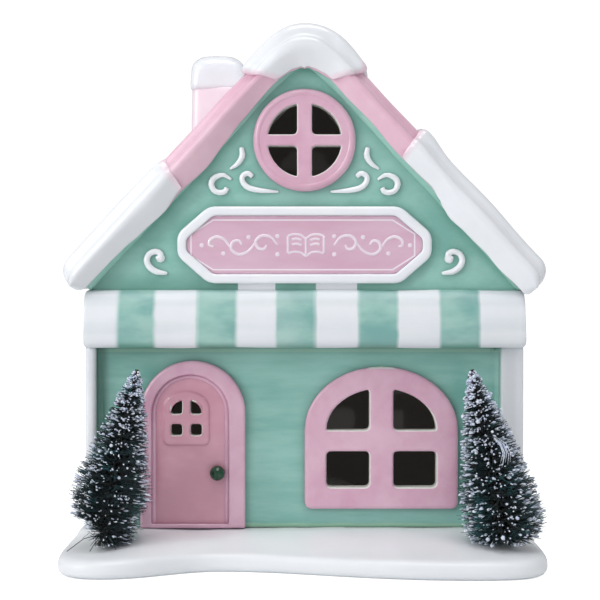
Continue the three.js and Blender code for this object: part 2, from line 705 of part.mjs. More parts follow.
function buildDoor() {
  const leafX = DOOR_X + DOOR_LEAF_SHIFT;
  const leafHalf = DOOR_LEAF_WIDTH / 2;
  const leafY = SHOP_FACE_Y - DOOR_LEAF_PROUD;
  const frameY = SHOP_FACE_Y - DOOR_FRAME_PROUD;
  const frameHalf = DOOR_FRAME_WIDTH / 2;
  const opening = archPoints(leafX, leafHalf + SEAM, 0, DOOR_SPRING_Z, leafHalf + SEAM);
  const outer = archPoints(DOOR_X, frameHalf, WALL_BOTTOM_Z, DOOR_SPRING_Z, frameHalf, 24);
  const sill = box(
    leafX - leafHalf - 1,
    leafX + leafHalf + 1,
    frameY + 0.6,
    leafY - SEAM,
    WALL_BOTTOM_Z,
    WALL_BOTTOM_Z + DOOR_SILL_HEIGHT,
  );
  const frame = extrudeSoft(new THREE.Shape(outer), frameY, SHOP_FACE_Y - SEAM, FRAME_EDGE)
    .subtract(extrudeForward(new THREE.Shape(opening), frameY - 5, SHOP_FACE_Y + 5))
    .add(sill);
  addPiece('door_frame', frame, pinkGlaze);

  const leaf = archPoints(leafX, leafHalf, WALL_BOTTOM_Z, DOOR_SPRING_Z, leafHalf);
  const lightHalf = DOOR_LIGHT_WIDTH / 2;
  const lightRise = lightHalf * 0.72;
  const light = archPoints(
    DOOR_LIGHT_X,
    lightHalf,
    DOOR_LIGHT_BOTTOM_Z,
    DOOR_LIGHT_TOP_Z - lightRise,
    lightRise,
    12,
  );
  const raised = extrudeSoft(softShape(light, 2), leafY - DOOR_LIGHT_PROUD, leafY + 1, 0.6);
  const panes = doorPanes().map((points) => softShape(points, 1.1));
  const spigotHole = post(KNOB_SPIGOT_RADIUS + FIT, 0, 0, -KNOB_SPIGOT_LENGTH - FIT, 10, 16);
  const solid = extrudeForward(new THREE.Shape(leaf), leafY, SHOP_BACK_Y).add(raised);
  const open = cutPanes(solid, panes, leafY - 5, SHOP_BACK_Y + 5)
    .subtract(spigotHole.transform(knobPlacement().elements));
  addPiece('door_leaf', open, doorGlaze);

  const r = KNOB_RADIUS;
  const ball = [];
  const ballSteps = 6;
  for (let i = 0; i <= ballSteps; i += 1) {
    const angle = -1.05 + (i / ballSteps) * (Math.PI / 2 + 1.05);
    ball.push([i === ballSteps ? 0 : r * Math.cos(angle), r * 0.86 + r * Math.sin(angle)]);
  }
  const knob = revolve(
    [[0, -KNOB_SPIGOT_LENGTH], [KNOB_SPIGOT_RADIUS, -KNOB_SPIGOT_LENGTH], [KNOB_SPIGOT_RADIUS, 0], ...ball],
    0,
    0,
    16,
  );
  addPiece('door_knob', knob, knobGlaze, knobPlacement());
}

// Knob frame: Z out of the door's face
function knobPlacement() {
  const turn = new THREE.Matrix4().makeRotationX(Math.PI / 2);
  return turn.setPosition(KNOB_X, SHOP_FACE_Y - DOOR_LEAF_PROUD - SEAM, KNOB_Z);
}

function doorPanes() {
  const panes = [];
  [-1, 1].forEach((side) => {
    const near = DOOR_LIGHT_X + (side * DOOR_BAR) / 2;
    const far = near + side * DOOR_PANE_WIDTH;
    const [x0, x1] = [Math.min(near, far), Math.max(near, far)];
    const lowTop = DOOR_BAR_Z - DOOR_CROSS_BAR / 2;
    panes.push(rectangle(x0, x1, lowTop - DOOR_PANE_HEIGHT, lowTop));
    const highBottom = DOOR_BAR_Z + DOOR_CROSS_BAR / 2;
    const inner = highBottom + DOOR_ARCHED_PANE_HEIGHT;
    const outer = inner - DOOR_PANE_SLOPE;
    panes.push([
      new THREE.Vector2(x0, highBottom),
      new THREE.Vector2(x1, highBottom),
      new THREE.Vector2(x1, side < 0 ? inner : outer),
      new THREE.Vector2(x0, side < 0 ? outer : inner),
    ]);
  });
  return panes;
}

// Awning

function buildAwning() {
  const frontY = FRONT_Y - SEAM - AWNING_REACH;
  const lip = AWNING_LIP;
  const section = new THREE.Shape();
  section.moveTo(FRONT_Y - SEAM, AWNING_BOTTOM_Z);
  section.lineTo(FRONT_Y - SEAM, AWNING_TOP_Z);
  section.lineTo(FRONT_Y - SEAM - AWNING_SHELF, AWNING_TOP_Z - 0.8);
  section.bezierCurveTo(
    frontY + 1.6,
    AWNING_TOP_Z - 6,
    frontY,
    AWNING_TOP_Z - 14,
    frontY,
    AWNING_BOTTOM_Z + lip,
  );
  section.quadraticCurveTo(frontY, AWNING_BOTTOM_Z, frontY + lip, AWNING_BOTTOM_Z);
  const awning = extrudeAcross(section, -BODY_HALF_WIDTH, BODY_HALF_WIDTH).intersect(belowRoof);
  addPiece('awning', awning, snowGlaze);
}

// Sign

function signOutline(inset) {
  const halfX = SIGN_WIDTH / 2 - inset;
  const halfZ = SIGN_HEIGHT / 2 - inset;
  const cutX = SIGN_CHAMFER_X - inset * 0.45;
  const cutZ = SIGN_CHAMFER_Z - inset * 0.45;
  const points = [];
  [[1, -1], [1, 1], [-1, 1], [-1, -1]].forEach(([sx, sz]) => {
    const upright = new THREE.Vector2(sx * halfX, SIGN_Z + sz * (halfZ - cutZ));
    const level = new THREE.Vector2(sx * (halfX - cutX), SIGN_Z + sz * halfZ);
    points.push(...(sx === sz ? [upright, level] : [level, upright]));
  });
  return points;
}

function buildSign() {
  const back = FRONT_Y - SEAM;
  const rim = extrudeSoft(softShape(signOutline(0), 2.4), back - SIGN_RIM_PROUD, back, 1.1);
  const hollow = extrudeForward(softShape(signOutline(SIGN_RIM), 1.2), back - 10, back + 5);
  addPiece('sign_border', rim.subtract(hollow), snowGlaze);
  const panel = softShape(signOutline(SIGN_RIM + SEAM), 1.2);
  addPiece('sign_panel', extrudeForward(panel, back - SIGN_PANEL_PROUD, back), pinkGlaze);
}

// Roof

// Closed section through the roof in [distance out from its inner face, y], grown outward and
// carried inward past the inner face when it is used as a cutter
function roofSection(grow, inward) {
  const front = ROOF_FRONT_Y - grow;
  const back = ROOF_BACK_Y + grow;
  const barge = BARGE_THICKNESS + grow;
  const top = ROOF_THICKNESS + grow;
  const roll = ROOF_FRONT_Y + ROLL_STEP - grow;
  return [
    [-inward, back],
    [-inward, front + (inward ? 0 : 1)],
    [inward ? 0 : 1, front],
    [barge - 0.9, front],
    [barge, front + 0.9],
    [barge + 0.2, roll],
    [top - 1.3, roll + 0.5],
    [top - 0.3, roll + 1.6],
    [top, roll + 3.4],
    [top, back - 2],
    [top - 1.4, back],
  ];
}

function snowSection(depth) {
  const front = ROOF_FRONT_Y - SEAM - SNOW_PROUD;
  const back = ROOF_BACK_Y + SEAM + SNOW_PROUD;
  const barge = BARGE_THICKNESS + 0.55 * depth;
  const top = ROOF_THICKNESS + depth;
  const roll = front + 0.7 * ROLL_STEP;
  return [
    [0, back],
    [0, front + 1.1],
    [1.1, front],
    [barge - 1.6, front],
    [barge - 0.3, front + 0.8],
    [barge + 0.2, roll - 0.7],
    [top - 2.2, roll],
    [top - 0.7, roll + 1.4],
    [top, roll + 3.6],
    [top, back - 2.6],
    [top - 1.8, back],
  ];
}

// Sweeps a section down the roof; each station gives the section and its place on the slope
function sweepRoof(stations) {
  return toSolid(loft(stations.map(({ x, skew = 0, section }) => (
    [...section].reverse().map(([out, y]) => {
      const p = roofPoint(x + skew * out * Math.sign(x), out);
      return new THREE.Vector3(p.x, y, p.y);
    })
  ))));
}

function roofBody(grow, inward, past = 0) {
  const section = roofSection(grow, inward);
  const stations = [...ROOF_STATIONS.slice(0, -1), EAVE_END_X + past];
  return sweepRoof(mirrored(stations).map((x) => ({ x, section })));
}

// Snow section squeezed between two heights, for the rounded end at the eave
function squeezed(section, low, high) {
  const full = ROOF_THICKNESS + SNOW_DEPTH;
  return section.map(([out, y]) => [low + (out * (high - low)) / full, y]);
}

function buildRoof() {
  addPiece('roof_shell', roofBody(0, 0), roofGlaze);
  const cutter = roofBody(SEAM, ROOF_THICKNESS / 2, SEAM);

  const peak = [];
  const peakSteps = 14;
  for (let i = 0; i <= peakSteps; i += 1) {
    const t = i / peakSteps;
    const x = PEAK_HALF_WIDTH * (2 * t - 1);
    const swell = Math.sqrt(Math.sin(Math.PI * Math.min(Math.max(t, 0.03), 0.97)));
    const depth = 0.5 + (SNOW_PEAK_DEPTH - 0.5) * swell;
    peak.push({ x, skew: PEAK_SKEW * Math.abs(2 * t - 1), section: snowSection(depth) });
  }
  addPiece('snow_peak', sweepRoof(peak).subtract(cutter), snowGlaze);
  addPiece('snow_left', lowerSnow(LEFT_SNOW_X, -1).subtract(cutter), snowGlaze);
  addPiece('snow_right', lowerSnow(RIGHT_SNOW_X, 1).subtract(cutter), snowGlaze);
}

function lowerSnow(startX, side) {
  const start = Math.abs(startX);
  const stations = [];
  const lip = [[0, 0.3], [0.07, 0.8], [0.23, 1], [0.53, 0.9], [1, 0.35]]; // share of the lip's run, swell
  lip.forEach(([along, share]) => {
    const depth = Math.min(SNOW_DEPTH, SNOW_DEPTH * share * 1.6) + SNOW_LIP_DEPTH * share;
    const x = start + along * SNOW_LIP_RUN;
    stations.push({ x, skew: LOWER_SKEW * (1 - along), section: snowSection(depth) });
  });
  const run = snowSection(SNOW_DEPTH);
  const end = BODY_HALF_WIDTH + EAVE_OVERHANG;
  const alongX = 1 / Math.hypot(1, ROOF_SLOPE); // X for each millimetre down the slope
  const straightEnd = end - EAVE_NOSE * alongX;
  stations.push({ x: (start + SNOW_LIP_RUN + straightEnd) / 2, section: run });
  stations.push({ x: straightEnd, section: run });
  [30, 55, 75, 90].forEach((degrees) => {
    const angle = THREE.MathUtils.degToRad(degrees);
    const x = straightEnd + EAVE_NOSE * alongX * Math.sin(angle);
    const low = degrees === 90 ? EAVE_LIP : 0;
    const high = ROOF_THICKNESS + SNOW_DEPTH - EAVE_NOSE * (1 - Math.cos(angle));
    stations.push({ x, section: squeezed(run, low, high) });
  });
  const ordered = side < 0 ? stations.reverse() : stations;
  return sweepRoof(ordered.map((station) => ({ ...station, x: side * station.x })));
}

// Chimney

function roundedBlockRing(halfX, halfY, rounding, z) {
  const ring = [];
  [[1, 1], [-1, 1], [-1, -1], [1, -1]].forEach(([sx, sy], corner) => {
    for (let i = 0; i <= 3; i += 1) {
      const angle = ((corner + i / 3) * Math.PI) / 2;
      ring.push(new THREE.Vector3(
        CHIMNEY_X + sx * (halfX - rounding) + rounding * Math.cos(angle),
        CHIMNEY_Y + sy * (halfY - rounding) + rounding * Math.sin(angle),
        z,
      ));
    }
  });
  return ring;
}

function buildChimney() {
  const halfX = CHIMNEY_WIDTH / 2;
  const halfY = CHIMNEY_DEPTH / 2;
  const stack = loft([
    roundedBlockRing(halfX, halfY, CHIMNEY_ROUNDING, EAVE_Z),
    roundedBlockRing(halfX, halfY, CHIMNEY_ROUNDING, CHIMNEY_TOP_Z),
  ]);
  const roofCut = roofBody(SEAM, RIDGE_Z);
  addPiece('chimney_stack', toSolid(stack).subtract(roofCut), roofGlaze);
  const snowX = halfX + CHIMNEY_SNOW_OVERHANG;
  const snowY = halfY + CHIMNEY_SNOW_OVERHANG;
  const levels = [[-2.4, 0], [-0.6, 0.07], [0, 0.2], [-0.3, 0.62], [-1.9, 0.84], [-5, 0.97], [-9, 1]];
  const bottom = CHIMNEY_TOP_Z + SEAM;
  const cap = loft(levels.map(([spread, share]) => (
    roundedBlockRing(
      snowX + spread,
      snowY + spread,
      CHIMNEY_SNOW_ROUNDING,
      bottom + share * CHIMNEY_SNOW_HEIGHT,
    )
  )));
  addPiece('chimney_snow_cap', cap, snowGlaze);
}

// Raised scrolls on the gable: centre lines on the left half, in X and in height from the middle of
// the round window or, for the spiral, of the sign
const SCROLLS = {
  comma: {
    middleZ: ROUND_WINDOW_Z,
    path: [[-33, -12.6], [-29.6, -10.2], [-27.7, -6.9], [-28.1, -3.3]],
    thickness: [0.35, 0.9, 1.2, 0.8],
  },
  c: {
    middleZ: ROUND_WINDOW_Z,
    path: [
      [-32.7, -17.3], [-36.3, -15.3], [-40.5, -16.9], [-41.5, -19.4],
      [-40.3, -22.2], [-37.8, -23.2], [-35.4, -22.7], [-34.6, -21.3],
    ],
    thickness: [0.35, 0.8, 1.15, 1.15, 1, 1, 1, 0.9],
  },
  hook: {
    middleZ: ROUND_WINDOW_Z,
    path: [
      [-23.3, -16], [-25.1, -14.6], [-27.5, -15.8], [-27.7, -18],
      [-25.6, -20.7], [-20.2, -22.2], [-11.7, -22.8],
    ],
    thickness: [0.8, 1, 1, 1, 1.1, 1, 0.3],
  },
  spiral: {
    middleZ: SIGN_Z,
    path: [
      [-65.4, -6.2], [-63.7, -4.7], [-65.6, -2.9], [-69, -3.9],
      [-70.2, -6.9], [-69, -9.7], [-66.1, -11.8], [-61.4, -12.6],
    ],
    thickness: [0.9, 1, 0.9, 0.9, 1, 1, 1, 0.35],
  },
};

function scrollBead({ middleZ, path, thickness }) {
  const curve = new THREE.CatmullRomCurve3(path.map(([x, z]) => new THREE.Vector3(x, 0, middleZ + z)));
  const steps = path.length * 2;
  const rings = [];
  for (let i = 0; i <= steps; i += 1) {
    const t = i / steps;
    const point = curve.getPoint(t);
    const along = curve.getTangent(t);
    const side = new THREE.Vector3(along.z, 0, -along.x);
    const place = t * (thickness.length - 1);
    const low = Math.min(Math.floor(place), thickness.length - 2);
    const share = THREE.MathUtils.lerp(thickness[low], thickness[low + 1], place - low);
    const [w, h] = [SCROLL_HALF_WIDTH * share, SCROLL_PROUD * Math.min(1, share)];
    rings.push([[-w, 0], [-0.75 * w, -0.7 * h], [0, -h], [0.75 * w, -0.7 * h], [w, 0]].map(
      ([across, y]) => point.clone().addScaledVector(side, across).setY(FRONT_Y - SEAM + y),
    ));
  }
  return toSolid(loft(rings));
}

function buildScrolls() {
  Object.entries(SCROLLS).forEach(([name, scroll]) => {
    const bead = scrollBead(scroll);
    addPiece(`scroll_${name}_left`, bead, snowGlaze);
    addPiece(`scroll_${name}_right`, bead.mirror([1, 0, 0]), snowGlaze);
  });
}

// Trees

// Two wires twisted together, as one stem with a turning two-lobed section
function twistedStem() {
  const rings = [];
  const bottom = -STEM_SEATED;
  const step = STEM_TWIST_PITCH / 3;
  const steps = Math.ceil((TREE_HEIGHT - bottom) / step);
  for (let i = 0; i <= steps; i += 1) {
    const z = bottom + ((TREE_HEIGHT - bottom) * i) / steps;
    const turn = (2 * Math.PI * z) / STEM_TWIST_PITCH;
    const ring = [];
    for (let k = 0; k < 6; k += 1) {
      const angle = (2 * Math.PI * k) / 6;
      const reach = STEM_RADIUS * (0.72 + 0.28 * Math.abs(Math.cos(angle)));
      ring.push(new THREE.Vector3(reach * Math.cos(angle + turn), reach * Math.sin(angle + turn), z));
    }
    rings.push(ring);
  }
  return loft(rings);
}

// Taper of a brush: out from its foot to the belly, then nearly straight in to the tip
function brushRadius({ radius, belly }, share) {
  const fill = Math.min(1, THREE.MathUtils.lerp(BRUSH_FOOT_SHARE, 1, share / belly));
  return fill * (radius * (1 - share) ** 0.88 + BRUSH_TIP_RADIUS);
}

// One three-sided strand, pointing out from the stem
function strand(height, angle, length) {
  const root = STEM_RADIUS + FIT + BRUSH_CORE_WALL / 2;
  const ends = [[root, STRAND_ROOT], [root + length, STRAND_TIP]];
  const geometry = loft(ends.map(([reach, width]) => (
    [0, 1, 2].map((k) => {
      const around = (2 * Math.PI * k) / 3;
      return new THREE.Vector3(reach, width * Math.cos(around), width * Math.sin(around));
    })
  )));
  geometry.rotateY(-STRAND_RISE);
  geometry.rotateZ(angle);
  geometry.translate(0, 0, height);
  return geometry;
}

function brush(form) {
  const bottom = TREE_BARE_STEM;
  const top = TREE_HEIGHT - TREE_BARE_TIP;
  const inner = STEM_RADIUS + FIT;
  const outer = inner + BRUSH_CORE_WALL;
  const core = revolve([[inner, bottom], [outer, bottom], [outer, top], [inner, top], [inner, bottom]], 0, 0, 9);
  const goldenAngle = Math.PI * (3 - Math.sqrt(5));
  const strands = [];
  for (let i = 0; i < STRANDS; i += 1) {
    const share = (i + 0.5) / STRANDS;
    const height = bottom + 1 + share * (top - bottom - 4);
    const uneven = 0.94 + 0.06 * Math.sin(i * 2.7);
    strands.push(strand(height, i * goldenAngle, brushRadius(form, share) * uneven - outer));
  }
  return core.add(toSolid(mergeGeometries(strands)));
}

function buildTrees() {
  [-1, 1].forEach((side) => {
    const [name, form] = side < 0 ? ['left', LEFT_BRUSH] : ['right', RIGHT_BRUSH];
    addPiece(`tree_${name}_trunk`, twistedStem(), wireSteel, treePlacement(side));
    addPiece(`tree_${name}_bristles`, brush(form), bristleFibre, treePlacement(side));
  });
}

// Light unit

const FLANGE_Z = LAMP_FLOOR_GAP;
const FLANGE_TOP_Z = FLANGE_Z + LAMP_FLANGE_THICKNESS;
const GASKET_Z = FLANGE_TOP_Z + SEAM;
const GASKET_TOP_Z = GASKET_Z + GASKET_THICKNESS;
const DOOR_PLATE_Z = FLANGE_Z + 0.1;
const DOOR_PLATE_TOP_Z = DOOR_PLATE_Z + DOOR_PLATE;
const CELL_Z = DOOR_PLATE_TOP_Z + FIT + CELL_RADIUS;
const POCKET_TOP_Z = CELL_Z + CELL_RADIUS + 2 * FIT;
const DECK_Z = POCKET_TOP_Z + LAMP_DECK;
const POCKET_HALF_X = CELL_PITCH + CELL_RADIUS + 2 * FIT;
const POCKET_HALF_Y = CELL_LENGTH / 2 + CONTACT_SPACE;
const DOOR_HALF_X = POCKET_HALF_X + DOOR_LEDGE;
const DOOR_HALF_Y = POCKET_HALF_Y + DOOR_LEDGE;
const LUG_Y = LAMP_Y - DOOR_HALF_Y - 1.4; // centre of the screw's lug
const SWITCH_Y = LAMP_Y + DOOR_HALF_Y + SWITCH_GAP + SWITCH_DEPTH / 2;
const SWITCH_FAR_Y = DOOR_HALF_Y + SWITCH_GAP + SWITCH_DEPTH + FIT; // from the barrel's axis
const LAMP_RADIUS = Math.hypot(SWITCH_LENGTH / 2 + FIT, SWITCH_FAR_Y) + LAMP_WALL;
const SWITCH_Z = FLANGE_Z + 1.2;
const BOARD_Z = DECK_Z + FIT;

// Battery door with its round screw lug, at a clearance outside or inside its own outline
function doorPlate(clearance, z0, z1) {
  const plate = box(
    -DOOR_HALF_X - clearance,
    DOOR_HALF_X + clearance,
    LAMP_Y - DOOR_HALF_Y - clearance,
    LAMP_Y + DOOR_HALF_Y + clearance,
    z0,
    z1,
  );
  return plate.add(post(DOOR_LUG_RADIUS + clearance, 0, LUG_Y, z0, z1, 24));
}

function buildHousing() {
  const r = LAMP_RADIUS;
  const flange = r + LAMP_FLANGE;
  const barrel = revolve(
    [[0, FLANGE_Z], [flange - 0.5, FLANGE_Z], [flange, FLANGE_Z + 0.5], [flange, FLANGE_TOP_Z],
      [r, FLANGE_TOP_Z], [r, DECK_Z - 1], [r - 1, DECK_Z], [0, DECK_Z]],
    0,
    LAMP_Y,
    48,
  );
  const pocket = box(
    -POCKET_HALF_X,
    POCKET_HALF_X,
    LAMP_Y - POCKET_HALF_Y,
    LAMP_Y + POCKET_HALF_Y,
    0,
    POCKET_TOP_Z,
  );
  const switchWell = box(
    -SWITCH_LENGTH / 2 - FIT,
    SWITCH_LENGTH / 2 + FIT,
    SWITCH_Y - SWITCH_DEPTH / 2 - FIT,
    SWITCH_Y + SWITCH_DEPTH / 2 + FIT,
    0,
    SWITCH_Z + SWITCH_HEIGHT + FIT,
  );
  const screwHole = post(SCREW_SHANK_RADIUS + FIT, 0, LUG_Y, 0, FLANGE_Z + SCREW_LENGTH + 1, 16);
  let housing = barrel
    .subtract(pocket)
    .subtract(doorPlate(FIT, 0, DOOR_PLATE_TOP_Z + SEAM))
    .subtract(switchWell)
    .subtract(screwHole);
  [-1, 1].forEach((end) => {
    housing = housing.subtract(contactTab(end * CELL_PITCH, end, FIT));
  });
  addPiece('lamp_housing', housing, whitePlastic);
}

function buildBatteryDoor() {
  const headZ = DOOR_PLATE_Z + SCREW_HEAD_HEIGHT + 0.1;
  const door = doorPlate(0, DOOR_PLATE_Z, DOOR_PLATE_TOP_Z)
    .subtract(post(SCREW_SHANK_RADIUS + FIT, 0, LUG_Y, 0, 10, 16))
    .subtract(post(SCREW_HEAD_RADIUS + FIT, 0, LUG_Y, 0, headZ, 20));
  addPiece('battery_door', door, whitePlastic);

  const headTop = headZ - SEAM;
  const headBottom = headTop - SCREW_HEAD_HEIGHT;
  const slot = 0.35;
  const cross = box(-1.4, 1.4, LUG_Y - slot, LUG_Y + slot, 0, headBottom + 0.5)
    .add(box(-slot, slot, LUG_Y - 1.4, LUG_Y + 1.4, 0, headBottom + 0.5));
  const screw = revolve(
    [[0, headBottom], [SCREW_HEAD_RADIUS, headBottom], [SCREW_HEAD_RADIUS, headTop],
      [SCREW_SHANK_RADIUS, headTop], [SCREW_SHANK_RADIUS, headTop + SCREW_LENGTH - 2],
      [0, headTop + SCREW_LENGTH]].map(([radius, z]) => [radius, Math.min(z, FLANGE_Z + SCREW_LENGTH)]),
    0,
    LUG_Y,
    16,
  ).subtract(cross);
  addPiece('door_screw', screw, springSteel);
}

// Cells 1 and 3 point forward and cell 2 back, so that they are in series
function buildCells() {
  const start = -CELL_LENGTH / 2;
  const end = CELL_LENGTH / 2;
  const shoulder = end - CELL_NUB_LENGTH;
  const profile = [
    [0, start], [CELL_RADIUS - 0.3, start], [CELL_RADIUS, start + 0.3], [CELL_RADIUS, shoulder - 0.3],
    [CELL_RADIUS - 0.3, shoulder], [CELL_NUB_RADIUS, shoulder], [CELL_NUB_RADIUS, end], [0, end],
  ];
  [-1, 0, 1].forEach((place, i) => {
    const towards = place === 0 ? 1 : -1;
    const turn = new THREE.Matrix4().makeRotationX((-towards * Math.PI) / 2);
    const placement = turn.setPosition(place * CELL_PITCH, LAMP_Y, CELL_Z);
    addPiece(`battery_${i + 1}`, revolve(profile, 0, 0, 16), cellSteel, placement);
  });
}

// Slab along one end wall of the battery pocket; end is -1 at the front and 1 at the back
function contactSlab(x0, x1, z0, z1, end, clearance = 0) {
  const back = LAMP_Y + end * (POCKET_HALF_Y - FIT + clearance);
  const face = LAMP_Y + end * (POCKET_HALF_Y - FIT - CONTACT_PLATE - clearance);
  return box(x0 - clearance, x1 + clearance, Math.min(back, face), Math.max(back, face), z0, z1);
}

function contactPlate(x0, x1, end) {
  const half = CONTACT_WIDTH / 2;
  return contactSlab(x0 - half, x1 + half, CELL_Z - half, CELL_Z + half, end);
}

// Solder tab that rises through the deck to the edge of the circuit board
function contactTab(x, end, clearance = 0) {
  const half = CONTACT_TAB_WIDTH / 2;
  const top = BOARD_Z + BOARD_THICKNESS + 0.8;
  return contactSlab(x - half, x + half, CELL_Z, top + clearance, end, clearance);
}

// Pressed dimple that meets a cell's nub
function contactDimple(x, end) {
  const reach = POCKET_HALF_Y - FIT - CONTACT_PLATE / 2;
  const turn = new THREE.Matrix4().makeRotationX((-end * Math.PI) / 2).setPosition(x, LAMP_Y, CELL_Z);
  return post(CONTACT_DIMPLE_RADIUS, 0, 0, CELL_LENGTH / 2 + FIT, reach, 12).transform(turn.elements);
}

// Conical coil that meets a cell's flat end
function contactCoil(x, end) {
  const plate = POCKET_HALF_Y - FIT - CONTACT_PLATE / 2;
  const cell = CELL_LENGTH / 2 + FIT + SPRING_WIRE_RADIUS;
  class Coil extends THREE.Curve {
    getPoint(t) {
      const angle = 2 * Math.PI * SPRING_TURNS * t;
      const radius = THREE.MathUtils.lerp(SPRING_WIDE_RADIUS, SPRING_NARROW_RADIUS, t);
      const y = LAMP_Y + end * THREE.MathUtils.lerp(plate, cell, t);
      return new THREE.Vector3(x + radius * Math.cos(angle), y, CELL_Z + radius * Math.sin(angle));
    }
  }
  const wire = new THREE.Shape();
  wire.absarc(0, 0, SPRING_WIRE_RADIUS, 0, 2 * Math.PI);
  return toSolid(new THREE.ExtrudeGeometry(wire, {
    steps: 8 * SPRING_TURNS,
    curveSegments: 5,
    extrudePath: new Coil(),
    bevelEnabled: false,
  }));
}

function buildContacts() {
  const [first, second, third] = [-CELL_PITCH, 0, CELL_PITCH];
  const plus = contactPlate(first, first, -1).add(contactDimple(first, -1)).add(contactTab(first, -1));
  addPiece('contact_plus', plus, springSteel);
  const rear = contactPlate(first, second, 1).add(contactCoil(first, 1)).add(contactDimple(second, 1));
  addPiece('contact_bridge_rear', rear, springSteel);
  const front = contactPlate(second, third, -1).add(contactCoil(second, -1)).add(contactDimple(third, -1));
  addPiece('contact_bridge_front', front, springSteel);
  const minus = contactPlate(third, third, 1).add(contactCoil(third, 1)).add(contactTab(third, 1));
  addPiece('contact_minus', minus, springSteel);
}

function buildLamp() {
  const board = post(BOARD_RADIUS, 0, LAMP_Y, BOARD_Z, BOARD_Z + BOARD_THICKNESS, 32);
  addPiece('circuit_board', board, boardGreen);
  const ledZ = BOARD_Z + BOARD_THICKNESS + SEAM;
  const tip = ledZ + LED_HEIGHT;
  const rim = LED_RADIUS + 0.4;
  const led = [[0, ledZ], [rim, ledZ], [rim, ledZ + 1], [LED_RADIUS, ledZ + 1], [LED_RADIUS, tip - LED_RADIUS]];
  [30, 60].forEach((degrees) => {
    const angle = THREE.MathUtils.degToRad(degrees);
    led.push([LED_RADIUS * Math.cos(angle), tip - LED_RADIUS + LED_RADIUS * Math.sin(angle)]);
  });
  led.push([0, tip]);
  addPiece('led_lamp', revolve(led, 0, LAMP_Y, 16), clearPlastic);

  const dome = [];
  const base = DECK_Z + SEAM;
  const steps = 5;
  for (let i = 0; i <= steps; i += 1) {
    const angle = (Math.PI / 2) * (i / steps);
    dome.push([i === steps ? 0 : DOME_RADIUS * Math.cos(angle), base + DOME_HEIGHT * Math.sin(angle)]);
  }
  for (let i = steps; i >= 0; i -= 1) {
    const angle = (Math.PI / 2) * (i / steps);
    const radius = i === steps ? 0 : (DOME_RADIUS - DOME_WALL) * Math.cos(angle);
    dome.push([radius, base + (DOME_HEIGHT - DOME_WALL) * Math.sin(angle)]);
  }
  dome.push(dome[0]);
  addPiece('diffuser_dome', revolve(dome, 0, LAMP_Y, 24), clearPlastic);
}

function buildGasket() {
  const inner = LAMP_RADIUS + FIT;
  const outer = LAMP_RADIUS + LAMP_FLANGE - 0.4;
  const ring = [[inner, GASKET_Z], [outer, GASKET_Z], [outer, GASKET_TOP_Z], [inner, GASKET_TOP_Z], [inner, GASKET_Z]];
  addPiece('gasket_ring', revolve(ring, 0, LAMP_Y, 48), foam);
}

function buildSwitch() {
  const half = SWITCH_LENGTH / 2;
  const stemHalfY = 0.6;
  const restX = -SWITCH_TRAVEL / 2;
  const slotHalf = (SLIDER_WIDTH + SWITCH_TRAVEL) / 2 + FIT;
  const slotTop = SWITCH_Z + 2.4;
  const body = box(
    -half,
    half,
    SWITCH_Y - SWITCH_DEPTH / 2,
    SWITCH_Y + SWITCH_DEPTH / 2,
    SWITCH_Z,
    SWITCH_Z + SWITCH_HEIGHT,
  ).subtract(box(-slotHalf, slotHalf, SWITCH_Y - stemHalfY - FIT, SWITCH_Y + stemHalfY + FIT, 0, slotTop));
  addPiece('switch_body', body, blackPlastic);
  const stemX0 = restX - SLIDER_WIDTH / 2;
  const stem = box(
    stemX0,
    stemX0 + SLIDER_WIDTH,
    SWITCH_Y - stemHalfY,
    SWITCH_Y + stemHalfY,
    SWITCH_Z - 1,
    slotTop - FIT,
  );
  const button = box(
    stemX0 - 0.4,
    stemX0 + SLIDER_WIDTH + 0.4,
    SWITCH_Y - 1.2,
    SWITCH_Y + 1.2,
    FLANGE_Z - 0.5,
    SWITCH_Z - FIT,
  );
  addPiece('switch_slider', stem.add(button), blackPlastic);
}

buildBase();
buildWalls();
buildRoundWindow();
buildArchedWindow();
buildDoor();
buildAwning();
buildSign();
buildRoof();
buildChimney();
buildScrolls();
buildTrees();
buildHousing();
buildBatteryDoor();
buildCells();
buildContacts();
buildLamp();
buildGasket();
buildSwitch();

export default shop;
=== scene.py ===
"""Looks of the light-up village shop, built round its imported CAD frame.

Everything is in the frame of the CAD: X to the right, the shop front faces -Y, Z up. Shapes are
laid out in millimetres and become metres in add_piece.
"""

from math import atan, cos, exp, hypot, pi, radians, sin, sqrt

import bmesh
import bpy
import numpy as np
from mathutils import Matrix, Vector


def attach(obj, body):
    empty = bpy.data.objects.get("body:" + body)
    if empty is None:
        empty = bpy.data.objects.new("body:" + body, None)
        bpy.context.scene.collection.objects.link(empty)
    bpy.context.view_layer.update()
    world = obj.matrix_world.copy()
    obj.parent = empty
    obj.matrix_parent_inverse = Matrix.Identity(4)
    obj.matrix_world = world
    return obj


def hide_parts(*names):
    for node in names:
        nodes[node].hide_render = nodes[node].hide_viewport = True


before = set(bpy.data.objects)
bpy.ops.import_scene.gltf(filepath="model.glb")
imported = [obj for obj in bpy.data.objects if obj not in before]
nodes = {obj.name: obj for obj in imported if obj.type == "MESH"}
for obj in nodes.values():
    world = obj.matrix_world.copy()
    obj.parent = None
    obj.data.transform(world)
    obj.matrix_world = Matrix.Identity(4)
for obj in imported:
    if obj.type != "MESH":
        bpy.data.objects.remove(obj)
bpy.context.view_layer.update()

MM = 0.001
BODY = "house"

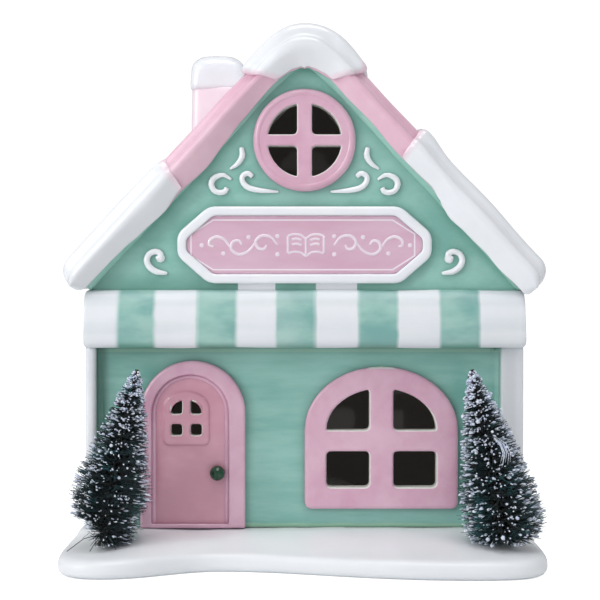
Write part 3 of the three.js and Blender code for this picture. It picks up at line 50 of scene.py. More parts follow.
# House, as in the CAD
HALF_WIDTH = 97.7
FRONT_Y = -38.0
BASE_TOP_Z = 13.0
EAVE_Z = 117.8
RIDGE_Z = 225.0
SLOPE = (RIDGE_Z - EAVE_Z) / HALF_WIDTH
ROOF_ANGLE = atan(SLOPE)
RIDGE_ROUNDING = 5.0
ROOF_THICKNESS = 14.0
ROOF_FRONT_Y = -46.0
ROOF_BACK_Y = 84.0
BARGE = 9.7
ROOF_END_X = 95.5
SIGN_Z = 139.8
SIGN_FACE_Y = -40.27
ROUND_Z = 186.3
ARCH_X = 34.4
DOOR_X = -51.2
DOOR_PANE_X = -53.0
ARCH_SPRING_Z = 64.6  # of the door and of its panes
LAMP_Y = 23.0

# Ends of the snow patches: their lean against the roof's outward height, which is nil at LEAN_OUT
PEAK_LEAN = 0.6
LOWER_LEAN = -0.27
LEAN_OUT = 6


# Meshes

def blended(x, table):
    """Value at x of a table of (x, value), eased between its rows."""
    xs, values = zip(*table)
    x = np.clip(np.asarray(x, float), xs[0], xs[-1])
    place = np.clip(np.searchsorted(xs, x) - 1, 0, len(xs) - 2)
    low, high = np.array(xs)[place], np.array(xs)[place + 1]
    share = (x - low) / (high - low)
    share = share * share * (3 - 2 * share)
    values = np.array(values, float)
    return values[place] * (1 - share) + values[place + 1] * share


def lumps(points, size, seed):
    """Smooth uneven field of about -1 to 1 over points, with swells about size apart."""
    rng = np.random.default_rng(seed)
    total = np.zeros(len(points))
    for _ in range(9):
        heading = rng.normal(size=3)
        heading /= np.linalg.norm(heading)
        length = size * rng.uniform(1.3, 2.6)
        total += np.sin(points @ heading * (2 * pi / length) + rng.uniform(0, 2 * pi))
    return total / 3.4


def circle(steps):
    """Cosines and sines of the steps round a circle."""
    angle = np.arange(steps) * 2 * pi / steps
    return np.cos(angle), np.sin(angle)


def level_ring(x, y, z):
    """Points of one height."""
    return np.stack([x, y, np.full(len(x), float(z))], -1)


def curve(points, t):
    """Place at t of 0 to 1 on the Bezier curve of some control points."""
    points = np.array(points, float)
    while len(points) > 1:
        points = points[:-1] * (1 - t) + points[1:] * t
    return points[0]


def rounded(corners, runs, bend=5):
    """Closed outline through corners of (a, b, radius), rounded, with straight side i cut into
    runs[i]."""
    spots = np.array([c[:2] for c in corners], float)
    count = len(corners)
    starts, ends = [], []
    for i, (_, _, radius) in enumerate(corners):
        before, after = spots[i - 1] - spots[i], spots[(i + 1) % count] - spots[i]
        a, b = np.linalg.norm(before), np.linalg.norm(after)
        cut = min(radius, 0.46 * a, 0.46 * b)
        starts.append(spots[i] + before / max(a, 1e-6) * cut)
        ends.append(spots[i] + after / max(b, 1e-6) * cut)
    outline = []
    for i in range(count):
        outline += [curve((starts[i], spots[i], ends[i]), t) for t in np.linspace(0, 1, bend)]
        following = starts[(i + 1) % count]
        for step in range(1, runs[i]):
            outline.append(ends[i] + (following - ends[i]) * step / runs[i])
    return np.array(outline)


def run_counts(corners, step):
    spots = np.array([c[:2] for c in corners], float)
    lengths = np.linalg.norm(np.roll(spots, -1, 0) - spots, axis=1)
    return [max(1, int(round(length / step))) for length in lengths]


def skin(rings, close=True):
    """Points and faces of a skin over rings of equal point counts, ends closed to their middles."""
    rings = np.asarray(rings, float)
    n, m, _ = rings.shape
    points = rings.reshape(-1, 3)
    i = np.arange(n - 1)[:, None] * m
    j = np.arange(m)[None, :]
    k = (j + 1) % m
    faces = np.stack([i + j, i + k, i + m + k, i + m + j], -1).reshape(-1, 4).tolist()
    if close:
        points = np.vstack([points, rings[0].mean(0), rings[-1].mean(0)])
        last = (n - 1) * m
        faces += [[n * m, (q + 1) % m, q] for q in range(m)]
        faces += [[n * m + 1, last + q, last + (q + 1) % m] for q in range(m)]
    return points, faces


def joined(skins):
    """Points and faces of several skins as one."""
    parts, faces, count = [], [], 0
    for points, own_faces in skins:
        parts.append(points)
        faces += [[v + count for v in face] for face in own_faces]
        count += len(points)
    return np.vstack(parts), faces


def placed(name, data):
    """A new object in the scene."""
    thing = bpy.data.objects.new(name, data)
    bpy.context.scene.collection.objects.link(thing)
    return thing


def add_piece(name, points, faces, materials, replaces=(), slot=None, swell=None, body=BODY,
              pick=None):
    """A smooth-shaded mesh that rides on a body. swell is (depth, size, seed) of uneven lumps."""
    mesh = bpy.data.meshes.new(name)
    mesh.from_pydata((np.asarray(points) * MM).tolist(), [], faces)
    work = bmesh.new()
    work.from_mesh(mesh)
    bmesh.ops.recalc_face_normals(work, faces=work.faces)
    work.to_mesh(mesh)
    work.free()
    mesh.polygons.foreach_set("use_smooth", np.ones(len(mesh.polygons), bool))
    if swell:
        depth, size, seed = swell
        flat = np.zeros(len(mesh.vertices) * 3)
        mesh.vertices.foreach_get("co", flat)
        normals = np.zeros(len(mesh.vertices) * 3, np.float32)
        mesh.vertex_normals.foreach_get("vector", normals)
        flat, normals = flat.reshape(-1, 3), normals.reshape(-1, 3)
        field = lumps(flat / MM, size, seed)[:, None]
        mesh.vertices.foreach_set("co", (flat + normals * field * depth * MM).ravel())
        mesh.update()
    for material in materials if isinstance(materials, list) else [materials]:
        mesh.materials.append(material)
    if pick is not None:
        mesh.polygons.foreach_set("material_index", np.asarray(pick, np.int32))
    piece = placed(name, mesh)
    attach(piece, body)
    if replaces:
        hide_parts(*replaces)


def soften(node, voxel, passes, grow):
    """Rounds a CAD node's edges as thick glaze does, and closes its seams."""
    piece = nodes[node]
    remesh = piece.modifiers.new("glaze_skin", "REMESH")
    remesh.mode = "VOXEL"
    remesh.voxel_size = voxel * MM
    remesh.use_smooth_shade = True
    smooth = piece.modifiers.new("glaze_round", "SMOOTH")
    smooth.factor = 0.5
    smooth.iterations = passes
    swell = piece.modifiers.new("glaze_coat", "DISPLACE")
    swell.mid_level = 0
    swell.strength = grow * MM


# Materials

def linear(colour):
    """Linear colour of an sRGB colour of three numbers of 0 to 255."""
    parts = [value / 255 for value in colour]
    return [v / 12.92 if v <= 0.04045 else ((v + 0.055) / 1.055) ** 2.4 for v in parts] + [1.0]


def reckoned(operation):
    """Method that gives the outcome of a math node."""
    return lambda self, *others: self.finish.math(operation, self, *others)


class Value:
    """A node's output that is reckoned with like a number."""

    def __init__(self, finish, socket):
        self.finish, self.socket = finish, socket

    __add__ = reckoned("ADD")
    __sub__ = reckoned("SUBTRACT")
    __mul__ = reckoned("MULTIPLY")
    __truediv__ = reckoned("DIVIDE")
    __pow__ = reckoned("POWER")
    __abs__ = reckoned("ABSOLUTE")
    most = reckoned("MAXIMUM")
    above = reckoned("GREATER_THAN")

    def __rsub__(self, other):
        return self.finish.math("SUBTRACT", other, self)

    def step(self, low, high):
        """0 below low and 1 above high, smooth between; low may be the larger."""
        ends = (1.0, 0.0) if low > high else (0.0, 1.0)
        node = self.finish.node("MapRange", self, min(low, high), max(low, high), *ends)
        node.interpolation_type = "SMOOTHSTEP"
        return Value(self.finish, node.outputs[0])


class Finish:
    """A node material round one Principled shader."""

    def __init__(self, name, **values):
        self.material = bpy.data.materials.new(name)
        self.material.use_nodes = True
        self.tree = self.material.node_tree
        self.tree.nodes.clear()
        self.shader = self.node("BsdfPrincipled")
        self.tree.links.new(self.shader.outputs[0], self.node("OutputMaterial").inputs[0])
        self.coordinates = self.node("TexCoord")
        self.place = Value(self, self.coordinates.outputs["Object"])
        self.set(**values)

    def put(self, socket, value):
        """Gives a socket a value. Three numbers are an sRGB colour."""
        if isinstance(value, Value):
            self.tree.links.new(value.socket, socket)
        elif isinstance(value, tuple) and len(value) == 3:
            socket.default_value = linear(value)
        else:
            socket.default_value = value

    def node(self, kind, *values):
        """A new node with its first inputs set."""
        node = self.tree.nodes.new("ShaderNode" + kind)
        for socket, value in zip(node.inputs, values):
            self.put(socket, value)
        return node

    def set(self, **values):
        """Sets inputs of the shader, with _ for a space in their names."""
        for name, value in values.items():
            self.put(self.shader.inputs[name.replace("_", " ")], value)

    def math(self, operation, *values):
        node = self.node("Math", *values)
        node.operation = operation
        return Value(self, node.outputs[0])

    def mix(self, factor, first, second):
        node = self.node("Mix")
        node.data_type = "RGBA"
        for place, value in ((0, factor), (6, first), (7, second)):
            self.put(node.inputs[place], value)
        return Value(self, node.outputs[2])

    def axes(self):
        """Place in millimetres."""
        outputs = self.node("SeparateXYZ", self.place).outputs
        return [Value(self, output) * 1000.0 for output in outputs]

    def normal(self):
        faced = Value(self, self.coordinates.outputs["Normal"])
        return [Value(self, output) for output in self.node("SeparateXYZ", faced).outputs]

    def noise(self, size, detail=2.0, stretch=(1, 1, 1), roughness=0.5, seed=0.0):
        """Noise of 0 to 1 with features about size millimetres across."""
        mapping = self.node("Mapping", self.place)
        mapping.inputs["Scale"].default_value = stretch
        mapping.inputs["Location"].default_value = (seed * 0.37, seed * 0.53, seed * 0.71)
        node = self.node("TexNoise", Value(self, mapping.outputs[0]))
        node.inputs["Scale"].default_value = 1 / (size * MM)
        node.inputs["Detail"].default_value = detail
        node.inputs["Roughness"].default_value = roughness
        return Value(self, node.outputs[0])

    def ramp(self, value, stops):
        node = self.node("ValToRGB", value)
        elements = node.color_ramp.elements
        elements.remove(elements[1])
        elements[0].position, elements[0].color = stops[0]
        for position, color in stops[1:]:
            elements.new(position).color = color
        return Value(self, node.outputs[0])

    def hollows(self, reach):
        """1 in corners and beside raised work, 0 on open faces."""
        node = self.node("AmbientOcclusion")
        node.samples = 6
        node.inputs["Distance"].default_value = reach * MM
        return 1.0 - Value(self, node.outputs["AO"])

    def bump(self, height, depth, strength, inner=None):
        node = self.node("Bump", strength, depth * MM)
        self.put(node.inputs["Height"], height)
        if inner is not None:
            self.put(node.inputs["Normal"], inner)
        return Value(self, node.outputs[0])


# Painted light and shade inside the shop: its bare clay glows faintly, and is dark grey instead of
# white.
INSIDE_GLOW = 0.009  # faint even light on the bare clay inside the shop
CLAY = (240, 239, 235)
INSIDE_SHADE = (112, 104, 98)


def glazed(name, thin, full, deep, seed=0.0, streak=(1, 1, 1), inside=None, panes=None,
           over=lambda *place: (), reach=3.0, mottle=22.0, wobble=0.22, gloss=0.16, coat=0.5,
           pool_and_shade=0.95):
    """Gloss glaze over clay: thin and full mottled at random, deep in hollows, where it pools and
    where shade is painted.

    inside and panes give masks of the bare inside, coloured dark grey as painted shade and given a
    faint painted glow, and of the white cut clay of the panes, laid wider on edges that face the
    light as a painted highlight.
    over gives the coats that are painted on the glaze, each as its share and its colour; some of
    these coats are painted shade or painted light.
    """
    finish = Finish(name, IOR=1.5, Coat_Weight=coat, Coat_Roughness=0.05, Coat_IOR=1.5)
    cloud = finish.noise(mottle, 2, streak, 0.55, seed)
    fine = finish.noise(mottle / 5.5, 3, streak, 0.6, seed + 3)
    spread = (cloud * 0.75 + fine * 0.25).step(0.3, 0.7)
    colour = finish.mix(spread, full, finish.mix(0.8, full, thin))
    # Deeper glaze in hollows: partly the glaze pooling there, partly painted shade.
    colour = finish.mix(finish.hollows(reach) * pool_and_shade, colour, deep)
    place = finish.axes()
    for share, shade in over(finish, *place):
        colour = finish.mix(share, colour, shade)
    cover = 0.0
    if panes:
        cover = panes(finish, *place)
        chalk = finish.mix(finish.noise(1.2), CLAY, (214, 212, 206))
        colour = finish.mix(cover, colour, chalk)
    if inside:
        within = inside(finish, *place)
        # Painted light and shade: a faint glow, and dark grey in place of the inside's white clay.
        finish.set(Emission_Color=(1.0, 0.93, 0.86, 1), Emission_Strength=within * INSIDE_GLOW)
        bare = finish.mix(finish.noise(9, 3), INSIDE_SHADE, (124, 116, 108))
        colour = finish.mix(within, colour, bare)
        cover = finish.math("MAXIMUM", cover, within)
    rough = finish.noise(16, seed=seed + 5) * 0.12 + gloss
    if panes or inside:
        rough = rough + cover * 0.6
    waves = finish.bump(finish.noise(13, 1, streak, seed=seed + 7), wobble, 0.55)
    grain = finish.bump(finish.noise(1.6, seed=seed + 9), 0.02, 0.35, waves)
    finish.set(Base_Color=colour, Roughness=rough, Normal=grain, Coat_Normal=waves)
    return finish.material


def past_y(limit, sign=1):
    """Mask of what lies behind a plane across Y, or before it where sign is -1."""
    def mask(finish, x, y, z):
        return (y * float(sign)).step(sign * limit - 0.3, sign * limit + 0.3)
    return mask


def side_inside(finish, x, y, z):
    return abs(x).step(94.6, 94.0)


def cut_faces(finish, mask):
    """Pane edges within a mask, which get white cut clay: wide on edges that look left or up, where
    it is a painted highlight facing the light, and narrow on edges that look right or down."""
    side, across, up = finish.normal()
    across = abs(across)
    wide = across.step(0.95, 0.82) * (up - side).step(-0.1, 0.3)
    return wide.most(across.step(0.5, 0.3)) * mask


def round_panes(finish, x, y, z):
    far = (x ** 2.0 + (z - ROUND_Z) ** 2.0) ** 0.5
    return cut_faces(finish, far.step(18.8, 18.3))


def arched_panes(finish, x, y, z):
    aside = abs(x - ARCH_X)
    within = aside.step(27.4, 26.9) * z.step(27.6, 28.2)
    return cut_faces(finish, within * (z + aside * 0.8).step(90, 88))


def door_panes(finish, x, y, z):
    within = abs(x - DOOR_PANE_X).step(8.4, 8.0) * z.step(52.6, 53.2)
    return cut_faces(finish, within * z.step(71.6, 71.1))


# Glazes, each where it is thin, full and deep
GABLE_MINT = ((162, 210, 199), (127, 184, 172), (88, 147, 130))
WALL_MINT = ((155, 205, 195), (121, 180, 168), (84, 145, 128))
# Painted highlight: the fillet under the eaves is a paler mint than the gable.
LIT_FILLET_MINT = ((176, 218, 206), (150, 202, 188), (112, 168, 150))
PINK = ((231, 193, 211), (216, 166, 190), (188, 124, 154))
SIGN_PINK = ((226, 193, 212), (216, 173, 194), (190, 130, 158))
DOOR_PINK = ((226, 171, 188), (211, 152, 170), (172, 104, 128))
ROOF_PINK = ((243, 208, 222), (232, 186, 205), (204, 142, 170))
# Painted light: the chimney's pink is paler than the roof's, for the stronger light on it.
LIT_CHIMNEY_PINK = ((253, 239, 246), (249, 229, 239), (228, 184, 204))
WHITE = ((246, 248, 252), (240, 243, 248), (205, 213, 219))
AWNING_WHITE = ((236, 239, 243), (230, 234, 239), (199, 206, 212))
BASE_WHITE = ((247, 249, 251), (242, 244, 247), (213, 220, 225))


def shop_lines_and_shade(finish, x, y, z):
    """Yellowish glaze along the shop wall's foot and in a thin line at its head; painted shadow
    under the awning, painted shade in the left cove and a painted highlight in the right cove.
    """
    height = z + (finish.noise(12) - 0.5) * 1.6
    yield height.step(15.6, 14.4) * 0.7, (160, 200, 168)
    # Painted shadow in a band under the awning.
    yield height.step(90, 93.5) * 0.4, (104, 154, 132)
    yield z.step(91.6, 92.1) * z.step(93.6, 93.1) * 0.4, (172, 210, 188)
    # Painted shade in the left cove beside the post, and a painted highlight in the right one.
    yield x.step(-86.8, -90.8) * 0.75, (76, 128, 112)
    yield x.step(84.6, 87.0) * 0.4, (168, 210, 200)


STRIPES = [(-82.8, -65.7), (-47.7, -29.6), (-13.0, 5.05), (23.5, 41.5), (59.5, 77.5)]
STRIPE_RIM = 0.7
STRIPE_SPAN = 210.0  # of the ramp that holds them, from its middle both ways


def stripes(finish, x, y, z):
    """Mint stripes brushed on the white, a little wavy, paler along their edges; painted shade on
    the lower lip and across the roll's upper part.
    """
    sway = (finish.noise(9, 2, (0.25, 1, 1.2)) - 0.5) * 1.5
    place = (x + sway + STRIPE_SPAN / 2) / STRIPE_SPAN
    black, grey, white = (0, 0, 0, 1), (0.62, 0.62, 0.62, 1), (1, 1, 1, 1)
    edge = [(-0.15, black), (0.15, grey), (STRIPE_RIM, grey), (STRIPE_RIM + 0.5, white)]
    stops = [(0.0, black)]
    for left, right in STRIPES:
        found = [(left + far, shade) for far, shade in edge]
        found += [(right - far, shade) for far, shade in reversed(edge)]
        stops += [((value + STRIPE_SPAN / 2) / STRIPE_SPAN, shade) for value, shade in found]
    half = len(stops) // 2 + 1  # one ramp holds too few stops
    low = finish.ramp(place, stops[:half])
    high = finish.ramp(place, stops[:1] + stops[half:])
    share = finish.mix(place.above(stops[half - 1][0] + 0.001), low, high)
    cloud = finish.noise(20, 3, (1, 1, 2), seed=4).step(0.3, 0.7)
    mint = finish.mix(cloud, (122, 174, 168), (162, 203, 193))
    # Painted shade: darker mint stripes on the awning's lower lip.
    mint = finish.mix(z.step(97.5, 94), mint, (108, 164, 146))
    yield share * share.above(0.01), mint
    yield finish.noise(13, 3, (0.1, 1, 1.5), seed=6).step(0.42, 0.7) * 0.16, (150, 172, 176)
    # Painted shade: a greyer band across the roll's upper part.
    yield z.step(111.5, 114) * z.step(121, 119) * 0.1, (120, 148, 150)


def drips_and_shade(finish, x, y, z):
    """White that runs from the sign's rim down the gable between two pairs of stripes, and painted
    shade on the gable's left above the awning.
    """
    one = x.step(-29.8, -29.4) * x.step(-12.8, -13.2)
    two = x.step(4.9, 5.3) * x.step(23.6, 23.2)
    # Painted shade on the gable's left above the awning.
    yield x.step(0, -50) * z.step(131, 121) * 0.65, (96, 150, 136)
    yield one.most(two) * z.step(124.5, 124), WHITE[0]


def eight_sided(x, z, half_x, half_z, cut_x, cut_z, centre_x=0.0):
    """Distance in millimetres outside an eight-sided outline about the sign's middle."""
    x, z = abs(x - centre_x), abs(z - SIGN_Z)
    length = hypot(cut_x, cut_z)
    slant = x * (cut_z / length) + z * (cut_x / length)
    reach = (half_x * cut_z + (half_z - cut_z) * cut_x) / length
    return (x - half_x).most(z - half_z).most(slant - reach)


def sign_lines(finish, x, y, z):
    """Fine white keyline round the sign's face, and white that bleeds in from the rim."""
    line = eight_sided(x, z, 49.6, 11.0, 9.8, 6.2, -0.75)
    yield abs(line).step(0.44, 0.2), (243, 231, 240)
    rim = eight_sided(x, z, 52.6, 13.2, 12.0, 10.2)
    ragged = rim + (finish.noise(5) - 0.5) * 1.1
    yield ragged.step(-1.1, 0.3) * 0.8, (236, 226, 233)


def down_roof(x, z, lean):
    """Distance down the slope from the ridge, on a line that leans with the height over it."""
    rise, run = sin(ROOF_ANGLE), cos(ROOF_ANGLE)
    return abs(x) * (run - lean * rise) + (RIDGE_Z - z) * (rise + lean * run) + LEAN_OUT * lean


def roll_shade(finish, x, y, z):
    """Painted shade on the front roll: inside at the left, outside at the right, on the peak."""
    far = abs(x)
    out = far * sin(ROOF_ANGLE) + (z - RIDGE_Z) * cos(ROOF_ANGLE)
    left = out.step(10.5, 5) * x.step(-14, -26) * 0.15
    right = out.step(9, 12) * x.step(12, 20) * 0.07
    crown = far.step(17, 8) * 0.08
    yield crown.most(left.most(right)) * y.step(-38, -42), (30, 40, 42)


def thin_edges_and_shade(finish, x, y, z):
    """Pink that shows through the white where a snow patch of the roof's front begins, laid over
    the painted shade of the front roll.
    """
    yield from roll_shade(finish, x, y, z)
    ragged = (finish.noise(5) - 0.5) * 2.4
    high, low = (down_roof(x, z, lean) + ragged for lean in (PEAK_LEAN, LOWER_LEAN))
    peak = high.step(16.6, 20.4) * high.step(30, 29)
    left = low.step(83.6, 79.2) * x.step(-30, -31)
    right = low.step(66.0, 61.6) * x.step(25, 26)
    yield peak.most(left.most(right)) * y.step(-34, -39) * 0.75, (243, 212, 225)


def foot_shade(finish, x, y, z):
    """Painted shade, slightly grey, round the slab's front and left."""
    front = z.step(11.5, 8) * y.step(-60, -75)
    yield front.most(x.step(-70, -95)) * 0.065, (110, 128, 138)


def post_shade(finish, x, y, z):
    """Painted shade on the posts towards the shop wall."""
    yield abs(x).step(97.6, 92.0) * 0.2, (84, 106, 108)


def low_rim_shade(finish, x, y, z):
    """Painted shade: deeper pink on the lower part of the round window's frame."""
    yield z.step(ROUND_Z - 12, ROUND_Z - 21) * 0.3, (196, 140, 166)


mint_gable = glazed("mint_gable", *GABLE_MINT, seed=1, streak=(0.7, 1, 1.3), reach=4.5,
                    over=drips_and_shade, inside=past_y(-33.6))
mint_shop = glazed("mint_shopfront", *WALL_MINT, seed=2, streak=(0.35, 1, 1.9), reach=4.5,
                   over=shop_lines_and_shade, inside=past_y(-29.2))
mint_side = glazed("mint_sides", *WALL_MINT, seed=3, streak=(1, 0.6, 1.4), inside=side_inside)
mint_back = glazed("mint_back", *WALL_MINT, seed=4, streak=(0.6, 1, 1.4), inside=past_y(74.6, -1))
mint_roof = glazed("mint_under_eaves", *LIT_FILLET_MINT, seed=5, reach=1.5)
pink_roof = glazed("pink_roof", *ROOF_PINK, seed=6, mottle=30, over=roll_shade)
pink_chimney = glazed("pink_chimney", *LIT_CHIMNEY_PINK, seed=16, mottle=14)
pink_round = glazed("pink_round_window", *PINK, seed=7, inside=past_y(-33.2), panes=round_panes,
                    over=low_rim_shade)
pink_arched = glazed("pink_arched_window", *PINK, seed=8, inside=past_y(-28.4),
                     panes=arched_panes)
pink_frame = glazed("pink_door_frame", *PINK, seed=9, reach=1.8, pool_and_shade=0.4)
pink_sign = glazed("pink_sign", *SIGN_PINK, seed=10, streak=(0.4, 1, 1.6), over=sign_lines,
                   reach=1.6)
pink_door = glazed("pink_door", *DOOR_PINK, seed=11, streak=(0.8, 1, 1.2), inside=past_y(-28.6),
                   panes=door_panes, reach=3.5)
snow = glazed("white_glaze", *WHITE, seed=12, mottle=30, wobble=0.3, over=thin_edges_and_shade)
snow_cap = glazed("white_cap", *WHITE, seed=12, mottle=30, wobble=0.3)
snow_base = glazed("white_base", *BASE_WHITE, seed=18, mottle=34, wobble=0.3, gloss=0.32,
                   coat=0.12, over=foot_shade)
snow_post = glazed("white_post", *WHITE, seed=21, mottle=15, reach=2, over=post_shade)
snow_trim = glazed("white_trim", *WHITE, seed=13, mottle=15, reach=2)
striped = glazed("striped_awning", *AWNING_WHITE, seed=14, over=stripes, wobble=0.3, gloss=0.3,
                 coat=0.15)
# Painted shade and light: the inside under the roof is dark grey with a faint glow.
shaded_inside = glazed("shaded_inside", INSIDE_SHADE, INSIDE_SHADE, INSIDE_SHADE, seed=15, inside=lambda *place: 1.0)
green_knob = glazed("green_knob", (20, 84, 54), (8, 52, 33), (4, 28, 18), seed=17,
                    mottle=2.2, reach=1.2, wobble=0.05, coat=0.08)
lilac = glazed("lilac_line", (244, 232, 241), (236, 218, 232), (212, 184, 206),
               seed=19, mottle=6, reach=0.6)


# Roof and its snow

def roof_point(x, out):
    """Point x along the roof's inner face, moved outward from it."""
    reach = np.hypot(x * SLOPE, RIDGE_ROUNDING)
    nx, nz = x * SLOPE ** 2 / reach, np.ones_like(x)
    length = np.hypot(nx, nz)
    return x + nx / length * out, RIDGE_Z - reach + nz / length * out


FINE_X = np.linspace(-110, 110, 8801)
FINE_STEPS = np.diff(roof_point(FINE_X, 8.0))
FINE_RUN = np.concatenate([[0], np.cumsum(np.hypot(*FINE_STEPS))])


def run_of(x):
    """Distance along the slope, as measured in the roof's thickness."""
    return np.interp(x, FINE_X, FINE_RUN)


def x_of(run):
    return np.interp(run, FINE_RUN, FINE_X)


# How far the roof's lower front edge hangs inward of a straight line, by distance from the middle
EDGE_LEFT = [
    (0, 2.4), (4, 1.3), (8, 0.0), (12, -0.65), (28, -0.2), (36, 1.1), (44, 2.1), (55.5, 0.8),
    (63, 2.1), (72.5, 0.6), (79, -0.4), (87, -0.9), (96, -1.3)]
EDGE_RIGHT = [
    (0, 2.4), (4, 1.1), (7.7, 0.0), (11, -1.2), (18.6, -0.7), (29, -1.2), (38, -0.5), (48, -0.8),
    (55, -1.2), (59, 0.0), (62, 1.3), (65.5, 2.1), (72, 1.2), (81, 0.9), (86, 1.4), (96, 0.1)]


def edge_hang(x):
    x = np.asarray(x, float)
    return np.where(x < 0, blended(-x, EDGE_LEFT), blended(x, EDGE_RIGHT))


def swept(section_at, places):
    """Rings of a section along the roof. section_at(place) gives its points' way out of the
    roof's inner face, their y and their run down the slope."""
    rings = []
    for place in places:
        out, y, run = section_at(place)
        x, z = roof_point(x_of(run), out)
        rings.append(np.stack([x, y, z], -1))
    return np.array(rings)


def build_roof():
    fillet = FRONT_Y - 3.2
    corners = [
        (0, ROOF_BACK_Y, 0.8), (0, FRONT_Y + 5, 0.6), (-1.1, FRONT_Y + 4, 0.6),
        (-1.1, FRONT_Y - 0.1, 1.2), (0, fillet, 0.7), (0.1, ROOF_FRONT_Y + 3.4, 0.7),
        (7.2, ROOF_FRONT_Y, 5.0), (BARGE - 0.4, ROOF_FRONT_Y + 0.9, 3.0),
        (BARGE + 1.0, ROOF_FRONT_Y + 4.4, 2.2), (ROOF_THICKNESS, ROOF_FRONT_Y + 5.6, 3.6),
        (ROOF_THICKNESS, ROOF_BACK_Y, 2.0),
    ]
    outline = rounded(corners, run_counts(corners, 2.4), 6)
    out, y = outline[:, 0], outline[:, 1]
    near_front = np.clip((-y + fillet + 1) / 2.2, 0, 1) * np.clip(1 - out / BARGE, 0, 1)

    def section(run):
        return out - edge_hang(x_of(run)) * near_front, y, run

    start, end = run_of(np.array([-ROOF_END_X, ROOF_END_X]))
    rings = swept(section, np.arange(start, end + 1, (end - start) / 150))
    points, faces = skin(rings)
    count = len(outline)
    under = (out < 0.15) & (y > ROOF_FRONT_Y + 2.4)
    inner = under & (y > FRONT_Y + 5)
    pick = []
    for face in faces:
        column = [v % count for v in face if v < rings.shape[0] * count]
        pick.append(2 if inner[column].all() else 1 if under[column].all() else 0)
    add_piece("roof_glazed", points, faces, [pink_roof, mint_roof, shaded_inside], ["roof_shell"],
              "roof_glaze", (0.28, 22, 31), pick=pick)


def snow_section(depth, share, hang):
    """Closed section of a snow patch. share thins it to nothing at the patch's ends."""
    proud = 2.15 * share - 0.25 * (1 - share)
    front, back = ROOF_FRONT_Y - proud, ROOF_BACK_Y + proud
    top = ROOF_THICKNESS + depth * share - 0.3 * (1 - share)
    barge = BARGE + 0.3 * depth * share
    drop = 0.5 * (1 - share)
    step = front + 3.6 * share + 4.4 * (1 - share)
    return [
        (2.5, ROOF_FRONT_Y + 3.4, 0.0), (-hang + drop, ROOF_FRONT_Y + 3.4, 0.6),
        (-hang + drop, front + 3.6 * share + 0.4, 0.9), (-hang * 0.5 + 7.4, front, 5.0),
        (barge - 0.2, front + 0.9, 3.0), (barge + 1.0, step, 2.4), (top, step + 1.4, 4.2),
        (top, back, 2.8), (-0.4 + drop, back, 1.7),
        (-0.4 + drop, ROOF_BACK_Y - 1, 0.8), (2.5, ROOF_BACK_Y - 1, 0.0),
    ]


SNOW_RUNS = run_counts(snow_section(3, 1, 0), 2.2)


def shore(y, seed, reach):
    """Wavy run of a patch's edge over the roof's depth, with none at the front."""
    rng = np.random.default_rng(seed)
    total = np.zeros_like(y)
    for length in (61, 37, 23):
        phase = rng.uniform(0, 2 * pi)
        total += np.sin(y * 2 * pi / length + phase) * length / 61
    fade = np.clip((y + 47) / 16, 0, 1)
    return total * reach * fade * fade * (3 - 2 * fade)


def rounding(distance, radius):
    """Quarter-round rise from 0 at an edge to 1."""
    t = np.clip(distance / radius, 0, 1)
    return sqrt(1 - (1 - t) ** 2)


def snow_outline(depth, share, x):
    outline = rounded(snow_section(depth, share, float(edge_hang(x))), SNOW_RUNS)
    return outline[:, 0], outline[:, 1]


def build_peak():
    start, end = run_of(-13.2), run_of(13.2)
    length = end - start
    tips = np.array([0, 0.25, 0.7, 1.3, 2.1, 3.2])
    places = np.concatenate([tips, np.linspace(4.6, length - 4.6, 22), length - tips[::-1]])

    def section(place):
        t = place / length
        share = rounding(min(place, length - place), 3.4)
        swell = 1.7 * sin(pi * t) ** 1.6 + 0.5 * sin(2 * pi * (t - 0.5))
        run = start + place
        out, y = snow_outline(2.7 + swell, share, x_of(run))
        lean = (2 * t - 1) * PEAK_LEAN * (out - LEAN_OUT)
        bank = shore(y, 5, 2.6) * max(0.0, 1 - 2 * t) + shore(y, 6, 2.6) * max(0.0, 2 * t - 1)
        return out, y, run + lean + bank

    add_piece("snow_peak_glazed", *skin(swept(section, places)), snow, ["snow_peak"],
              "snow_glaze", (0.3, 17, 32))


NOSE_RADIUS = 8.0
NOSE_END_X = 98.35
NOSE_FRONT_Y, NOSE_BACK_Y = -40, 78  # beyond these it also draws in along Y


def quarter(radius, past):
    """Height left of a quarter round at a distance past its start."""
    return sqrt(max(radius ** 2 - past ** 2, 0.0))


